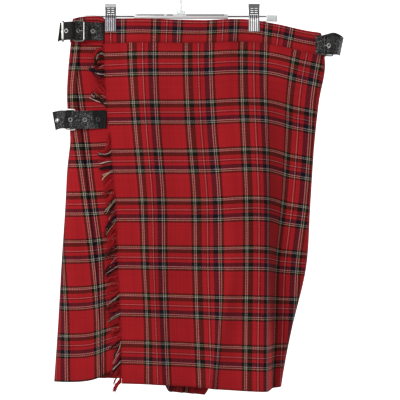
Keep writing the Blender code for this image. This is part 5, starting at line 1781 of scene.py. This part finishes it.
def turned(name, profile, sides=96):
    """A profile of radius and height turned about the upright axis: (r cos a, r sin a, z), in metres."""
    radius, level = (np.array(column)[:, None] for column in profile)
    angle = round_angles(sides)
    points = np.stack([radius * np.cos(angle), radius * np.sin(angle), level + 0 * angle], axis=-1)
    number = np.arange(len(radius) * sides).reshape(-1, sides)
    mesh = surface(name, points, tube_cells(number[::-1]))
    mesh.shade_smooth()
    return linked(name, mesh)


def backdrop(obj, reflected):
    """White all over, seen but lighting nothing; reflected says whether metal mirrors it."""
    made, shader, _ = new_material("white_" + obj.name, (0.90, 0.90, 0.90), 0.9)
    shader.inputs["Emission Color"].default_value = WHITE
    shader.inputs["Emission Strength"].default_value = 1.0
    obj.data.materials.append(made)
    obj.visible_diffuse = False
    obj.visible_shadow = False
    obj.visible_glossy = reflected


radius = np.linspace(0.001, DOME, 8)
backdrop(turned("floor", (radius, np.full(8, FLOOR))), True)
climb = np.linspace(0, math.pi / 2, 24)[::-1]
backdrop(turned("dome", (DOME * np.cos(climb) + 0.001, FLOOR - 0.01 + DOME * np.sin(climb))), False)
print("stage:", 2 * DOME, "m across")


# %% Light
def soft_lamp(name, spot, aim_z, size, watts, colour):
    """A square lamp, size metres wide, turned towards a height on the upright axis."""
    data = bpy.data.lights.new(name, "AREA")
    data.shape = "SQUARE"
    data.size = size
    data.energy = watts
    data.color = colour
    lamp = linked(name, data)
    lamp.location = spot
    lamp.rotation_euler = (Vector((0.0, 0.0, aim_z)) - Vector(spot)).to_track_quat("-Z", "Y").to_euler()
    lamp.visible_camera = False


soft_lamp("key", (-1.7, -2.3, 0.7), -0.40, 1.1, 52.0, (1.0, 0.99, 0.97))
soft_lamp("fill", (1.9, -2.4, -0.3), -0.42, 1.6, 5.0, (0.97, 0.98, 1.0))
soft_lamp("behind", (2.7, 1.7, 0.5), -0.42, 1.1, 60.0, (1.0, 1.0, 0.99))
world = bpy.data.worlds.new("studio")
bpy.context.scene.world = world
world.use_nodes = True
sky = world.node_tree.nodes["Background"]
sky.inputs["Color"].default_value = WHITE
sky.inputs["Strength"].default_value = 0.30
bpy.context.scene.view_settings.view_transform = "Standard"
print("lamps:", len(bpy.data.lights))

# %% Camera
LENS, SENSOR = 200.0, 36.0
FRAME_WIDTH = 704.0
FRAME_MIDDLE = (33.4, -18.0, -420.0)
camera_data = bpy.data.cameras.new("camera")
camera_data.lens = LENS
camera_data.sensor_width = SENSOR
camera_data.clip_end = 30.0
camera = linked("camera", camera_data)
away = FRAME_WIDTH * LENS / SENSOR
camera.location = Vector((FRAME_MIDDLE[0], FRAME_MIDDLE[1] - away, FRAME_MIDDLE[2])) * MM
camera.rotation_euler = (math.pi / 2, 0.0, 0.0)
bpy.context.scene.camera = camera
print("camera:", round(away * MM, 2), "m away")
